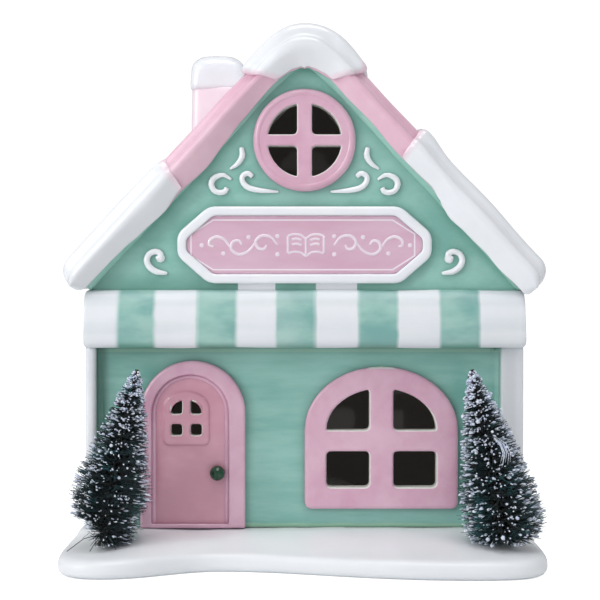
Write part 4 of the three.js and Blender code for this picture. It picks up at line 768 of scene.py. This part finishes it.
def build_lower_snow(side, start_x, name, seed):
    start = run_of(start_x)
    straight = run_of(NOSE_END_X) - start - NOSE_RADIUS
    foot_radius = 5.6 if side < 0 else 2.8
    foot = NOSE_RADIUS - foot_radius
    places = [0, 0.25, 0.7, 1.3, 2.1, 3.2, 4.6, 6.4, 8.4, 10.6]
    places += list(np.linspace(13, straight, int((straight - 13) / 2.2)))
    places += [straight + NOSE_RADIUS * sin(radians(a))
               for a in (10, 21, 32, 43, 54, 65, 75, 83, 88)]

    def section(place):
        share = rounding(place, 3.0 if side > 0 else 8.0)
        swell = exp(-((place - 5) / 6.5) ** 2)
        depth = 2.1 + 1.3 * swell if side > 0 else 1.2 + 0.9 * min(place / 24, 1)
        run = start + place
        out, y = snow_outline(depth, share, side * float(x_of(run)))
        past = place - straight
        if past > 0:  # the nose
            cap = quarter(NOSE_RADIUS, past)
            top, low = out.max(), out.min()
            limit = top - NOSE_RADIUS + cap
            lift = foot_radius - quarter(foot_radius, past - foot) if past > foot else 0.0
            out = low + lift + (out - low) * (limit - low - lift) / (top - low)
            pull = (1 - cap / NOSE_RADIUS) * 2.6
            y = np.where(y < NOSE_FRONT_Y, np.minimum(y + pull, NOSE_FRONT_Y), y)
            y = np.where(y > NOSE_BACK_Y, np.maximum(y - pull, NOSE_BACK_Y), y)
        lean = LOWER_LEAN * (out - LEAN_OUT) * max(0.0, 1 - place / 15)
        bank = shore(y, seed, 3.4) * max(0.0, 1 - place / 30)
        return out, y, run + lean + bank

    rings = swept(section, places) * (side, 1, 1)
    add_piece(f"{name}_glazed", *skin(rings), snow, [name], "snow_glaze", (0.3, 19, seed))


build_roof()
build_peak()
build_lower_snow(-1, 53.3, "snow_left", 33)
build_lower_snow(1, 41.5, "snow_right", 34)


# Chimney

CHIMNEY = (-42.2, 30.0)


def block_ring(half_x, half_y, corner, z):
    """Rounded rectangle round the chimney's middle."""
    c, s = circle(64)
    power = 2 / max(0.08, corner)
    reach = (np.abs(c / half_x) ** power + np.abs(s / half_y) ** power) ** (-1 / power)
    return level_ring(CHIMNEY[0] + reach * c, CHIMNEY[1] + reach * s, z)


def build_chimney():
    rings = [block_ring(12.5, 12.0, 0.26, z) for z in np.linspace(168, 217.9, 22)]
    rings += [block_ring(11.6, 11.1, 0.3, 218.3), block_ring(9.0, 8.6, 0.4, 218.5)]
    add_piece("chimney_glazed", *skin(rings), pink_chimney, ["chimney_stack"], "roof_glaze",
              (0.16, 12, 41))
    rings = []
    for t in np.linspace(0, 1, 22):
        half = 13.25 - 0.9 * max(0.0, 1 - t / 0.1) ** 2
        if t > 0.5:
            round_off = sqrt(max(0.0, 1 - ((t - 0.5) / 0.5) ** 2.6))
            half *= 0.34 + 0.66 * round_off
        rings.append(block_ring(half, half * 0.96, 0.26 + 0.5 * t ** 3, 216.9 + t * 16.9))
    rings += [block_ring(half, half, 1.0, z) for half, z in ((3.6, 233.85), (1.6, 233.9))]
    add_piece("chimney_snow_glazed", *skin(rings), snow_cap, ["chimney_snow_cap"], "snow_glaze",
              (0.3, 13, 42))


build_chimney()


# Awning

AWNING_HALF = 97.6


def build_awning():
    front, top, bottom, lip = -46.75, 119.9, 94.2, 4.4
    roll = [(FRONT_Y - 2.45, top - 0.8), (front + 1.6, top - 6), (front, top - 14),
            (front, bottom + lip)]
    turn = [roll[-1], (front, bottom), (front + lip, bottom)]
    section = [(FRONT_Y + 0.4, bottom + 0.4), (FRONT_Y + 0.4, top), (FRONT_Y - 0.9, top - 0.1),
               (FRONT_Y - 1.8, top - 0.35)]
    section += [curve(roll, t) for t in np.linspace(0, 1, 16)]
    section += [curve(turn, t) for t in np.linspace(0.15, 1, 7)]
    section = np.array(section + [(FRONT_Y - 3, bottom), (FRONT_Y - 1, bottom + 0.1)])
    middle = section.mean(0)
    tips = np.array([0, 0.25, 0.7, 1.4, 2.2])
    rings = []
    for x in np.concatenate([tips - AWNING_HALF, np.linspace(-94, 94, 95),
                             AWNING_HALF - tips[::-1]]):
        share = 0.86 + 0.14 * rounding(AWNING_HALF - abs(x), 2.2)
        y, z = (middle + (section - middle) * share).T
        rings.append(np.stack([np.full(len(section), x), y, z], -1))
    add_piece("awning_glazed", *skin(rings), striped, ["awning"], "snow_glaze", (0.22, 16, 51))


build_awning()


# Base

BORE_RADIUS = 34.1
FLANGE_BORE_RADIUS = 38.1
RECESS_Z = 3.95
SHOULDER_Z = 8.05
UNEVEN_Z = 6.5  # the slab's lumps begin above this


def base_reach(c, s, half, front, back, front_power, back_power):
    power = np.where(s < 0, front_power, back_power)
    deep = np.where(s < 0, front, back)
    return (np.abs(c / half) ** power + np.abs(s / deep) ** power) ** (-1 / power)


def base_ring(inset, z, to_walls=0.0, to_hole=0.0, radius=BORE_RADIUS):
    """Outline of the slab, drawn in to the walls and on to the hole for the light unit."""
    c, s = circle(300)
    reach = base_reach(c, s, 105.1 - inset, 89.6 - inset, 87.2 - inset, 9, 16)
    x, y = -0.8 + reach * c, reach * s
    dip = 0.235 * np.exp(-((x + 36) / np.where(x < -36, 32, 60)) ** 2)
    y = np.where(y < 0, y * (1 - dip), y)
    inner = base_reach(c, s, 99.3, 39.6, 79.6, 24, 24)
    for share, far, centre_y in ((to_walls, inner, 0.0), (to_hole, radius, LAMP_Y)):
        x += (far * c - x) * share
        y += (centre_y + far * s - y) * share
    return level_ring(x, y, z)


def build_base():
    rings = [base_ring(2.6, 0, 0, t, FLANGE_BORE_RADIUS) for t in (1, 0.6, 0.25)]
    rings += [base_ring(inset, z) for inset, z in (
        (2.6, 0), (1.7, 0.2), (0.9, 0.7), (0.3, 1.5), (0, 2.6), (0, 3.7), (0.05, 4.8),
        (0.35, 5.8), (0.9, 6.7), (1.8, 7.5), (3.2, SHOULDER_Z))]
    rings += [base_ring(3.2, SHOULDER_Z + 5.2 * sin(t * pi / 2), t)
              for t in np.linspace(0.045, 1, 22)]
    rings += [base_ring(3.2, BASE_TOP_Z, 1, t) for t in (0.08, 0.3, 0.65, 1)]
    rings += [base_ring(3.2, RECESS_Z, 1, 1), base_ring(3.2, RECESS_Z, 1, 1, FLANGE_BORE_RADIUS),
              base_ring(2.6, 0, 0, 1, FLANGE_BORE_RADIUS)]
    rings = np.array(rings)
    level = rings.reshape(-1, 3)
    rise = lumps(level, 26, 61) * 0.34 + lumps(level, 11, 62) * 0.1
    level[:, 2] += rise * np.clip((level[:, 2] - UNEVEN_Z) / 2, 0, 1)
    under_house = np.abs(level[:, 0]) < 96
    under_house &= (level[:, 1] > -30) & (level[:, 1] < 77)
    level[:, 2] = np.where(under_house, np.minimum(level[:, 2], BASE_TOP_Z), level[:, 2])
    add_piece("base_glazed", *skin(rings, close=False), snow_base, ["base_slab"], "snow_glaze")


build_base()


# CAD nodes that keep their shape, with softened glaze edges

def paint(node, material):
    piece = nodes[node]
    piece.data.materials.clear()
    piece.data.materials.append(material)


softened = [
    ("shopfront_wall", mint_shop, 0.75, 4, 0.22),
    ("round_window_frame", pink_round, 0.36, 7, 0.2),
    ("arched_window_frame", pink_arched, 0.42, 8, 0.22),
    ("door_frame", pink_frame, 0.42, 8, 0.22),
    ("door_leaf", pink_door, 0.36, 4, 0.16),
    ("door_knob", green_knob, 0.22, 3, 0.06),
    ("sign_border", snow_trim, 0.42, 7, 0.24),
    ("sign_panel", pink_sign, 0.42, 2, 0.12),
]
for side in ("left", "right"):
    softened.append((f"corner_post_{side}", snow_post, 0.5, 6, 0.2))
    for form, grow in (("comma", 0.3), ("c", 0.3), ("hook", 0.3), ("spiral", 0.5)):
        softened.append((f"scroll_{form}_{side}", snow_trim, 0.2, 5, grow))
for node, material, voxel, passes, grow in softened:
    soften(node, voxel, passes, grow)
    paint(node, material)


# Thin trim of glaze

def build_cove(side, post_x, name):
    """Glaze that fills the corner between the shop front and a corner post."""
    hollow = [(post_x - 0.15, -35.2), (post_x - 0.5, -32.5), (post_x - 4.2, -32.15)]
    section = [(post_x + 0.3, -28), (post_x + 0.3, -35.2)]
    section += [curve(hollow, t) for t in np.linspace(0, 1, 9)]
    x, y = (np.array(section + [(post_x - 4.2, -28)]) * (side, 1)).T
    rings = [level_ring(x, y, z) for z in np.linspace(12.8, 93.8, 42)]
    add_piece(name, *skin(rings), mint_shop, slot="mint_glaze", swell=(0.1, 9, 44))


def build_seam_glaze():
    """Glaze that closes the seams at the corners of the side walls."""
    c, s = circle(12)
    beads = []
    for side in (-1, 1):
        for y, foot in ((-32.12, 94.4), (73.37, BASE_TOP_Z - 0.1)):
            beads.append(skin([level_ring(side * 97.62 + 0.34 * c, y + s, z)
                               for z in np.linspace(foot, 118.6, 30)]))
    add_piece("seam_glaze", *joined(beads), mint_side, slot="mint_glaze")


def build_pane_arches():
    """Pink clay that rounds the two upper panes of the door."""
    outline = [(5.0 * cos(a), 5.4 * sin(a))
               for a in np.linspace(0.0, radians(80), 12)]
    across, up = np.array(outline + [(0.9, 6.4), (5.8, 6.4), (5.8, 0.0)]).T
    arches = []
    for side in (-1, 1):
        x, z = DOOR_PANE_X + side * (1.8 + across), ARCH_SPRING_Z + up
        arches.append(skin([np.column_stack([x, np.full(len(x), y), z])
                            for y in (-34.15, -34.0, -31.0, -29.3)]))
    add_piece("door_pane_arches", *joined(arches), pink_door, slot="door_glaze")


def build_round_rim():
    """Rounded outer edge of the round window's frame."""
    section = np.array([
        (19.2, -40.9), (19.8, -41.4), (20.5, -41.68), (21.2, -41.66), (21.9, -41.3),
        (22.45, -40.7), (22.78, -39.9), (22.85, -38.9), (22.85, -37.7), (20.2, -37.7)])
    turns, count = 160, len(section)
    (c, s), (radius, y) = circle(turns), section.T
    points = np.stack([np.outer(c, radius), np.tile(y, (turns, 1)),
                       ROUND_Z + np.outer(s, radius)], -1).reshape(-1, 3)
    faces = []
    for i in range(turns):
        a, b = i * count, (i + 1) % turns * count
        faces += [[a + j, b + j, b + (j + 1) % count, a + (j + 1) % count] for j in range(count)]
    add_piece("round_window_rim", points, faces, pink_round, slot="pink_glaze",
              swell=(0.08, 8, 46))


def line_of(points):
    """Dense smooth line through points of (x, z)."""
    points = np.array(points, float)
    padded = np.vstack([2 * points[0] - points[1], points, 2 * points[-1] - points[-2]])
    t = np.linspace(0, 1, 8, endpoint=False)[:, None]
    spans = []
    for a, b, c, d in zip(padded, padded[1:], padded[2:], padded[3:]):
        spans.append(0.5 * (2 * b + (c - a) * t + (2 * a - 5 * b + 4 * c - d) * t ** 2
                            + (3 * b - a - 3 * c + d) * t ** 3))
    return np.vstack(spans + [points[-1:]])


def bead(line, y, radius, flat, taper=0.0):
    """Half-sunk bead along a line of (x, z) at a depth y."""
    line = np.asarray(line, float)
    ahead = np.gradient(line, axis=0)
    ahead /= np.linalg.norm(ahead, axis=1)[:, None]
    share = np.linspace(0, 1, len(line))
    width = radius * (1 - taper * np.abs(2 * share - 1) ** 3)
    c, s = circle(8)
    rings = []
    for (x, z), (dx, dz), w in zip(line, ahead, width):
        rings.append(np.stack([x - dz * c * w, y + flat * w * s, z + dx * c * w], -1))
    return skin(rings)


def build_door_bead():
    """Thin bead of glaze where the door leaf meets its frame."""
    half, foot = 16.5, 14.4
    line = [(DOOR_X - half, z) for z in np.linspace(foot, ARCH_SPRING_Z, 16)]
    line += [(DOOR_X + half * cos(a), ARCH_SPRING_Z + half * sin(a))
             for a in np.linspace(pi, 0, 26)[1:-1]]
    line += [(DOOR_X + half, z) for z in np.linspace(ARCH_SPRING_Z, foot, 16)]
    add_piece("door_bead", *bead(line, -33.1, 1.15, 0.8), pink_frame, slot="pink_glaze",
              swell=(0.07, 6, 45))


def button(x, y, z, radius, depth):
    """Small round knob of glaze, flat against a face."""
    c, s = circle(16)
    rings = []
    for t in np.radians(np.linspace(-80, 80, 9)):
        across = radius * cos(t)
        rings.append(level_ring(x + across * c, z + across * s, y + depth * sin(t))[:, (0, 2, 1)])
    return skin(rings)


def build_scroll_heads():
    """Round heads where the two spirals curl up."""
    heads = [button(x, FRONT_Y, z, 2.1, 1.9) for x, z in ((-64.1, 134.0), (64.3, 133.6))]
    add_piece("scroll_heads", *joined(heads), snow_trim, slot="snow_glaze")


def build_ornament():
    """Raised line work in the middle of the sign: an open book between scrolls and dots."""
    book = [
        [(-8, 4.2), (-8, -3.6)], [(8, 4.2), (8, -3.6)], [(0, 3.2), (0, -4.6)],
        [(-8, 4.2), (-5.4, 4.9), (-2.4, 4.6), (0, 3.2), (2.4, 4.6), (5.4, 4.9), (8, 4.2)],
        [(-8, -3.6), (-5.4, -2.9), (-2.4, -3.2), (0, -4.6), (2.4, -3.2), (5.4, -2.9),
         (8, -3.6)],
        [(-6.2, 2.6), (-4.2, 2.9), (-1.8, 2.3)], [(-6.2, 0.4), (-4.2, 0.7), (-1.8, 0.1)],
        [(6.2, 2.6), (4.2, 2.9), (1.8, 2.3)], [(6.2, 0.4), (4.2, 0.7), (1.8, 0.1)],
    ]
    scroll = [
        [(12.5, 0), (15.5, 3.6), (19.6, 4.2), (22.2, 1.8), (21.2, -1.2), (18.6, -1.6),
         (17.4, 0.2)],
        [(22.6, 1.0), (25.6, -2.6), (29.8, -4.0), (33.0, -1.8), (32.4, 1.4), (29.8, 2.0),
         (28.4, 0.2)],
        [(33.4, -1.0), (36.2, 2.6), (39.6, 3.8), (42.4, 2.4), (42.8, 0.2), (41.0, -0.6)],
    ]
    dots = [(12.6, 4.0), (12.6, -4.0), (25.4, 3.6), (36.6, -3.6), (46.2, 0.0)]
    lines = [bead(line_of(line), 0, 0.68, 0.5) for line in book]
    for side in (1, -1):
        lines += [bead(line_of(np.array(line) * (side, 1)), 0, 0.86, 0.5, 0.35) for line in scroll]
    for side in (1, -1):
        lines += [button(side * x, 0, z, 1.15, 0.4) for x, z in dots]
    points, faces = joined(lines)
    points += (0.6, SIGN_FACE_Y, SIGN_Z - 0.2)
    add_piece("sign_ornament", points, faces, lilac, slot="snow_glaze")


build_cove(-1, 93.1, "wall_cove_left")
build_cove(1, 87.7, "wall_cove_right")
build_door_bead()
build_round_rim()
build_pane_arches()
build_seam_glaze()
build_ornament()
build_scroll_heads()


# Bottle-brush trees

TREE_FOOT = (88.0, -62.0, 10.5)
TREE_LEAN = radians(12.2)
TREE_HEIGHT = 77.0
BRUSH_TOP = [(46, 11.4), (55, 8.9), (63, 6.5), (72, 3.5), (76.6, 1.3)]
BRUSHES = {  # radius by height
    "left": [(1.2, 13.5), (5.7, 14.6), (9.2, 14.8), (12.8, 15.2), (16.3, 16.2), (20, 17.8),
             (23.2, 17.6), (30.2, 16.1), (37.4, 13.3)] + BRUSH_TOP,
    "right": [(1.2, 12.5), (5.7, 17.0), (9.2, 17.9), (16.3, 17.6), (23.2, 16.9), (30.2, 15.1),
              (37.4, 13.1)] + BRUSH_TOP,
}
TWIST = 7.2
STRANDS = 6400
STRAND_FLOOR_Z = 11.9
STRAND_LIMIT_X = 104.6
STRAND_FRONT_Y = -87
LOOSE_STRANDS = np.array([
    [(-86, -66, 16), (-92.5, -77, 15.8), (-98, -86, 12.2)],
    [(-86, -66, 15), (-87.5, -77, 14.4), (-88.5, -86, 12.2)],
    [(-85, -66, 16), (-81, -76, 15.0), (-78, -84, 12.4)],
])
BENT_TUFT = np.array([(79.6, -73.5, 57.6), (82.2, -75.6, 55.2), (83.6, -76.0, 51.2),
                      (82.8, -75.0, 46.8)])


def in_tree(points, side):
    """Moves points from the stem's own frame into place."""
    turn = -side * TREE_LEAN
    x = points[..., 0] * cos(turn) + points[..., 2] * sin(turn)
    z = -points[..., 0] * sin(turn) + points[..., 2] * cos(turn)
    return np.stack([x + side * TREE_FOOT[0], points[..., 1] + TREE_FOOT[1], z + TREE_FOOT[2]], -1)


def tubes(spines, radii, sides):
    """Points and faces of thin closed tubes along spines (tubes, points, 3), with radii (tubes,
    points)."""
    count, length, _ = spines.shape
    along = spines[:, -1] - spines[:, 0]
    along /= np.linalg.norm(along, axis=1)[:, None]
    helper = np.where(np.abs(along[:, 2:3]) < 0.9, [[0.0, 0.0, 1.0]], [[1.0, 0.0, 0.0]])
    u = np.cross(along, helper)
    u /= np.linalg.norm(u, axis=1)[:, None]
    v = np.cross(along, u)
    c, s = circle(sides)
    ring = c[None, :, None] * u[:, None] + s[None, :, None] * v[:, None]
    points = (spines[:, :, None, :] + ring[:, None] * radii[:, :, None, None]).reshape(-1, 3)
    base = np.arange(count)[:, None, None] * length * sides
    row = np.arange(length - 1)[None, :, None] * sides
    j = np.arange(sides)[None, None, :]
    k = (j + 1) % sides
    low, high = base + row, base + row + sides
    faces = np.stack([low + j, low + k, high + k, high + j], -1).reshape(-1, 4).tolist()
    first = base[:, 0, 0]
    faces += [[b + q for q in range(sides)][::-1] for b in first]
    faces += [[b + (length - 1) * sides + q for q in range(sides)] for b in first]
    return points, faces


def build_tree(side, name, seed):
    rng = np.random.default_rng(seed)
    left = side < 0
    count = STRANDS
    height = 1.6 + (TREE_HEIGHT - 2.4) * rng.uniform(0, 1, count) ** 1.04
    angle = 2 * pi * height / TWIST + np.where(rng.uniform(size=count) < 0.5, 0, pi)
    angle += rng.normal(0, 0.62, count)
    reach = blended(height, BRUSHES[name]) * rng.uniform(0.8, 1.03, count)
    stray = rng.uniform(size=count) < np.where((height < 16) & (not left), 0.12, 0.03)
    reach = np.where(stray, reach * rng.uniform(1.03, 1.14, count), reach)
    tilt = rng.normal(9, 7, count) + np.where(height < 9, (9 - height) * -2.2, 0)
    tilt = np.radians(tilt)
    radial = np.stack([np.cos(angle), np.sin(angle), np.zeros(count)], -1)
    if left:  # its foot is bare on the outer side
        kept = (height > 10) | (radial[:, 0] > -0.1 - 0.05 * height)
        height, reach, tilt, radial = height[kept], reach[kept], tilt[kept], radial[kept]
        count = len(height)
    axis = np.array([0.0, 0.0, 1.0])
    heading = radial * np.cos(tilt)[:, None] + axis * np.sin(tilt)[:, None]
    around = np.cross(np.tile(axis, (count, 1)), radial)
    zero = np.zeros(count)
    root = np.stack([zero, zero, height - reach * np.sin(tilt) * 0.6], -1) + radial * 0.7
    root[:, 2] = np.maximum(root[:, 2], 0.6)
    tip = root + heading * (reach / np.cos(tilt) - 0.7)[:, None]
    tip += around * (rng.normal(0, 0.07, count) * reach)[:, None]
    middle = (root + tip) / 2 + axis * (rng.normal(0.0, 0.045, count) * reach)[:, None]
    middle += around * (rng.normal(0, 0.05, count) * reach)[:, None]
    spines = in_tree(np.stack([root, middle, tip], 1), side)
    lowest = STRAND_FLOOR_Z + rng.uniform(0, 0.8, count)[:, None]
    spines[..., 2] = np.maximum(spines[..., 2], lowest)
    spines[..., 0] = np.clip(spines[..., 0], -STRAND_LIMIT_X, STRAND_LIMIT_X)
    spines[..., 1] = np.maximum(spines[..., 1], STRAND_FRONT_Y)
    width = rng.uniform(0.13, 0.19, count)[:, None] * np.array([[1.0, 0.85, 0.55]])
    if left:
        spines = np.vstack([spines, LOOSE_STRANDS])
        width = np.vstack([width, np.full((3, 3), 0.2)])
    add_piece(f"tree_{name}_needles", *tubes(spines, width, 3), bristle,
              [f"tree_{name}_bristles"], "bristle_fibre")

    patch = lumps(tip + 40 * side, 5, seed + 1)
    share = (0.16 if left else 0.22) + 0.12 * patch + 0.0045 * np.clip(height - 30, 0, 50)
    chosen = np.flatnonzero(rng.uniform(size=count) < np.clip(share, 0.05, 0.7))
    start, stop = spines[chosen, 1], spines[chosen, 2]
    along = stop - start
    size = np.linalg.norm(along, axis=1)[:, None]
    along = along / np.maximum(size, 1e-6)
    long = np.minimum(rng.uniform(1.0, 3.3, len(chosen))[:, None], size * 1.4 + 0.4)
    fat = rng.uniform(0.18, 0.38 if left else 0.44, len(chosen))
    big = rng.uniform(size=len(chosen)) < (0.08 if left else 0.17)
    fat = np.where(big, fat * rng.uniform(1.5, 2.4, len(chosen)), fat)
    base = stop - along * long
    flecks = np.stack([base, base + along * long * 0.35, base + along * long * 0.8,
                       stop + along * 0.15], 1)
    flecks[..., 0] = np.clip(flecks[..., 0], -STRAND_LIMIT_X - 0.3, STRAND_LIMIT_X + 0.3)
    radii = fat[:, None] * np.array([[0.3, 0.9, 1.0, 0.35]])
    if not left:  # a bent tuft of flocked strands
        spread = rng.normal(0, 1.3, (8, 1, 3)) * (1, 0.5, 0.8)
        tuft = BENT_TUFT + spread * np.array([0.4, 0.8, 1.0, 1.3])[None, :, None]
        flecks = np.vstack([flecks, tuft])
        radii = np.vstack([radii, rng.uniform(0.14, 0.22, (8, 1)) * (0.5, 1.0, 1.0, 0.4)])
    add_piece(f"tree_{name}_snow", *tubes(flecks, radii, 5), flock)


def fibre_finish():
    finish = Finish("bristle_fibre", Roughness=0.6, Sheen_Weight=0.25, Specular_IOR_Level=0.35)
    shade = finish.noise(2.6, 3).step(0.35, 0.65)
    # Lighter teal in random patches: partly teal fibres, partly a painted highlight of their sheen.
    teal_sheen = finish.noise(9, seed=2).step(0.52, 0.74) * 0.7
    colour = finish.mix(shade, (4, 16, 20), (20, 56, 60))
    finish.set(Base_Color=finish.mix(teal_sheen, colour, (50, 128, 136)))
    return finish.material


def flock_finish():
    finish = Finish("snow_flock", Roughness=0.85, Sheen_Weight=0.3)
    shade = finish.noise(1.8, 3).step(0.35, 0.65)
    colour = finish.mix(shade, (206, 216, 240), (240, 246, 255))
    finish.set(Base_Color=colour, Normal=finish.bump(finish.noise(0.5, 3), 0.08, 0.7))
    return finish.material


bristle = fibre_finish()
flock = flock_finish()
build_tree(-1, "left", 71)
build_tree(1, "right", 72)


# Plain finishes of the light unit and the wire, and nodes that keep their shape

def speckled(name, dark, light, size, rough=(0.35, 0.5), metal=0.0, depth=0.02):
    """Two-tone finish with uneven gloss and fine grain."""
    finish = Finish(name, Metallic=metal)
    colour = finish.mix(finish.noise(size, 4).step(0.35, 0.65), dark, light)
    roughness = finish.noise(size * 3, seed=2) * (rough[1] - rough[0]) + rough[0]
    grain = finish.bump(finish.noise(size / 2, 3), depth, 0.5)
    finish.set(Base_Color=colour, Roughness=roughness, Normal=grain)
    return finish.material


def cell_finish():
    """Plain metallic sleeve with a dark band round the plus end."""
    finish = Finish("cell_sleeve", Metallic=0.7)
    scuffs = finish.noise(3, 4)
    colour = finish.mix(scuffs.step(0.3, 0.7), (150, 152, 156), (176, 178, 182))
    band = abs(finish.axes()[1] - LAMP_Y).step(9, 9.4)
    colour = finish.mix(band * 0.85, colour, (52, 56, 62))
    finish.set(Base_Color=colour, Roughness=scuffs * 0.15 + 0.28)
    return finish.material


for material, painted in (
    (mint_gable, "gable_front"), (mint_side, "side_wall_left side_wall_right"),
    (mint_back, "back_wall"), (cell_finish(), "battery_1 battery_2 battery_3"),
    (speckled("twisted_wire", (70, 66, 56), (120, 116, 104), 1.5, (0.35, 0.6), 0.85),
     "tree_left_trunk tree_right_trunk"),
    (speckled("white_plastic", (226, 224, 218), (236, 235, 230), 0.9, (0.38, 0.55)),
     "lamp_housing battery_door"),
    (speckled("black_plastic", (28, 28, 29), (44, 44, 45), 0.5, (0.4, 0.6)),
     "switch_body switch_slider"),
    (speckled("foam", (44, 44, 47), (74, 74, 78), 0.5, (0.85, 0.98), depth=0.2),
     "gasket_ring"),
    (speckled("plated_steel", (176, 178, 182), (206, 207, 210), 2.0, (0.18, 0.34), 1.0),
     "door_screw contact_plus contact_minus contact_bridge_front contact_bridge_rear"),
    (speckled("circuit_board", (22, 84, 46), (34, 110, 62), 1.6, (0.3, 0.45)),
     "circuit_board"),
    (speckled("lamp_plastic", (240, 226, 176), (250, 240, 206), 1.0, (0.15, 0.25)),
     "led_lamp"),
    (speckled("frosted_plastic", (226, 226, 222), (240, 240, 238), 1.2, (0.45, 0.6)),
     "diffuser_dome"),
):
    for node in painted.split():
        paint(node, material)


# Stage, light and camera

PICTURE = 600  # pixels across the photo
FOCAL = 1460  # camera's focal length in those pixels


def pale_floor():
    """White floor that is washed out to the eye, as on a lit table, without lighting the shop."""
    finish = Finish("pale_floor", Roughness=0.7, Emission_Color=(1, 1, 1, 1))
    seen = Value(finish, finish.node("LightPath").outputs["Is Camera Ray"])
    colour = finish.mix(finish.noise(60, 3), (252, 252, 253), (255, 255, 255))
    finish.set(Emission_Strength=seen * 0.8, Base_Color=colour)
    mesh = bpy.data.meshes.new("floor")
    far = 6.0
    mesh.from_pydata([(-far, -far, 0), (far, -far, 0), (far, far, 0), (-far, far, 0)], [],
                     [(0, 1, 2, 3)])
    mesh.materials.append(finish.material)
    floor = placed("floor", mesh)
    floor.location.z = -0.0002


def area_light(name, place, target, size, power):
    data = bpy.data.lights.new(name, "AREA")
    data.shape = "RECTANGLE"
    data.size, data.size_y = size
    data.energy = power
    light = placed(name, data)
    light.location = place
    light.rotation_euler = (Vector(target) - Vector(place)).to_track_quat("-Z", "Y").to_euler()


def surroundings(strength):
    """Even white room light. The backdrop itself shows as plain white."""
    world = bpy.data.worlds.new("white_room")
    bpy.context.scene.world = world
    world.use_nodes = True
    tree = world.node_tree
    tree.nodes.clear()
    output = tree.nodes.new("ShaderNodeOutputWorld")
    mix = tree.nodes.new("ShaderNodeMixShader")
    path = tree.nodes.new("ShaderNodeLightPath")
    tree.links.new(path.outputs["Is Camera Ray"], mix.inputs[0])
    for place, colour, power in ((1, (0.97, 0.98, 1.0, 1), strength), (2, (1, 1, 1, 1), 1.05)):
        background = tree.nodes.new("ShaderNodeBackground")
        background.inputs[0].default_value = colour
        background.inputs[1].default_value = power
        tree.links.new(background.outputs[0], mix.inputs[place])
    tree.links.new(mix.outputs[0], output.inputs[0])


def set_camera():
    data = bpy.data.cameras.new("camera")
    data.sensor_width = 36
    data.lens = data.sensor_width * FOCAL / PICTURE
    data.shift_x = -4.5 / PICTURE
    data.shift_y = -15 / PICTURE
    data.clip_start = 0.05
    data.clip_end = 20
    camera = placed("camera", data)
    camera.location = (0, -0.688, 0.122)
    camera.rotation_euler = (pi / 2, 0, 0)
    bpy.context.scene.camera = camera


pale_floor()
surroundings(0.465)
area_light("key", (-0.9, -0.8, 0.62), (0, 0, 0.1), (0.8, 0.8), 4.2)
area_light("glint", (-0.95, -0.62, 0.45), (0, 0, 0.12), (0.07, 0.22), 1.4)
area_light("overhead", (0.05, -0.42, 1.25), (0, -0.05, 0), (0.7, 0.5), 5.0)
set_camera()
bpy.context.scene.view_settings.view_transform = "Standard"
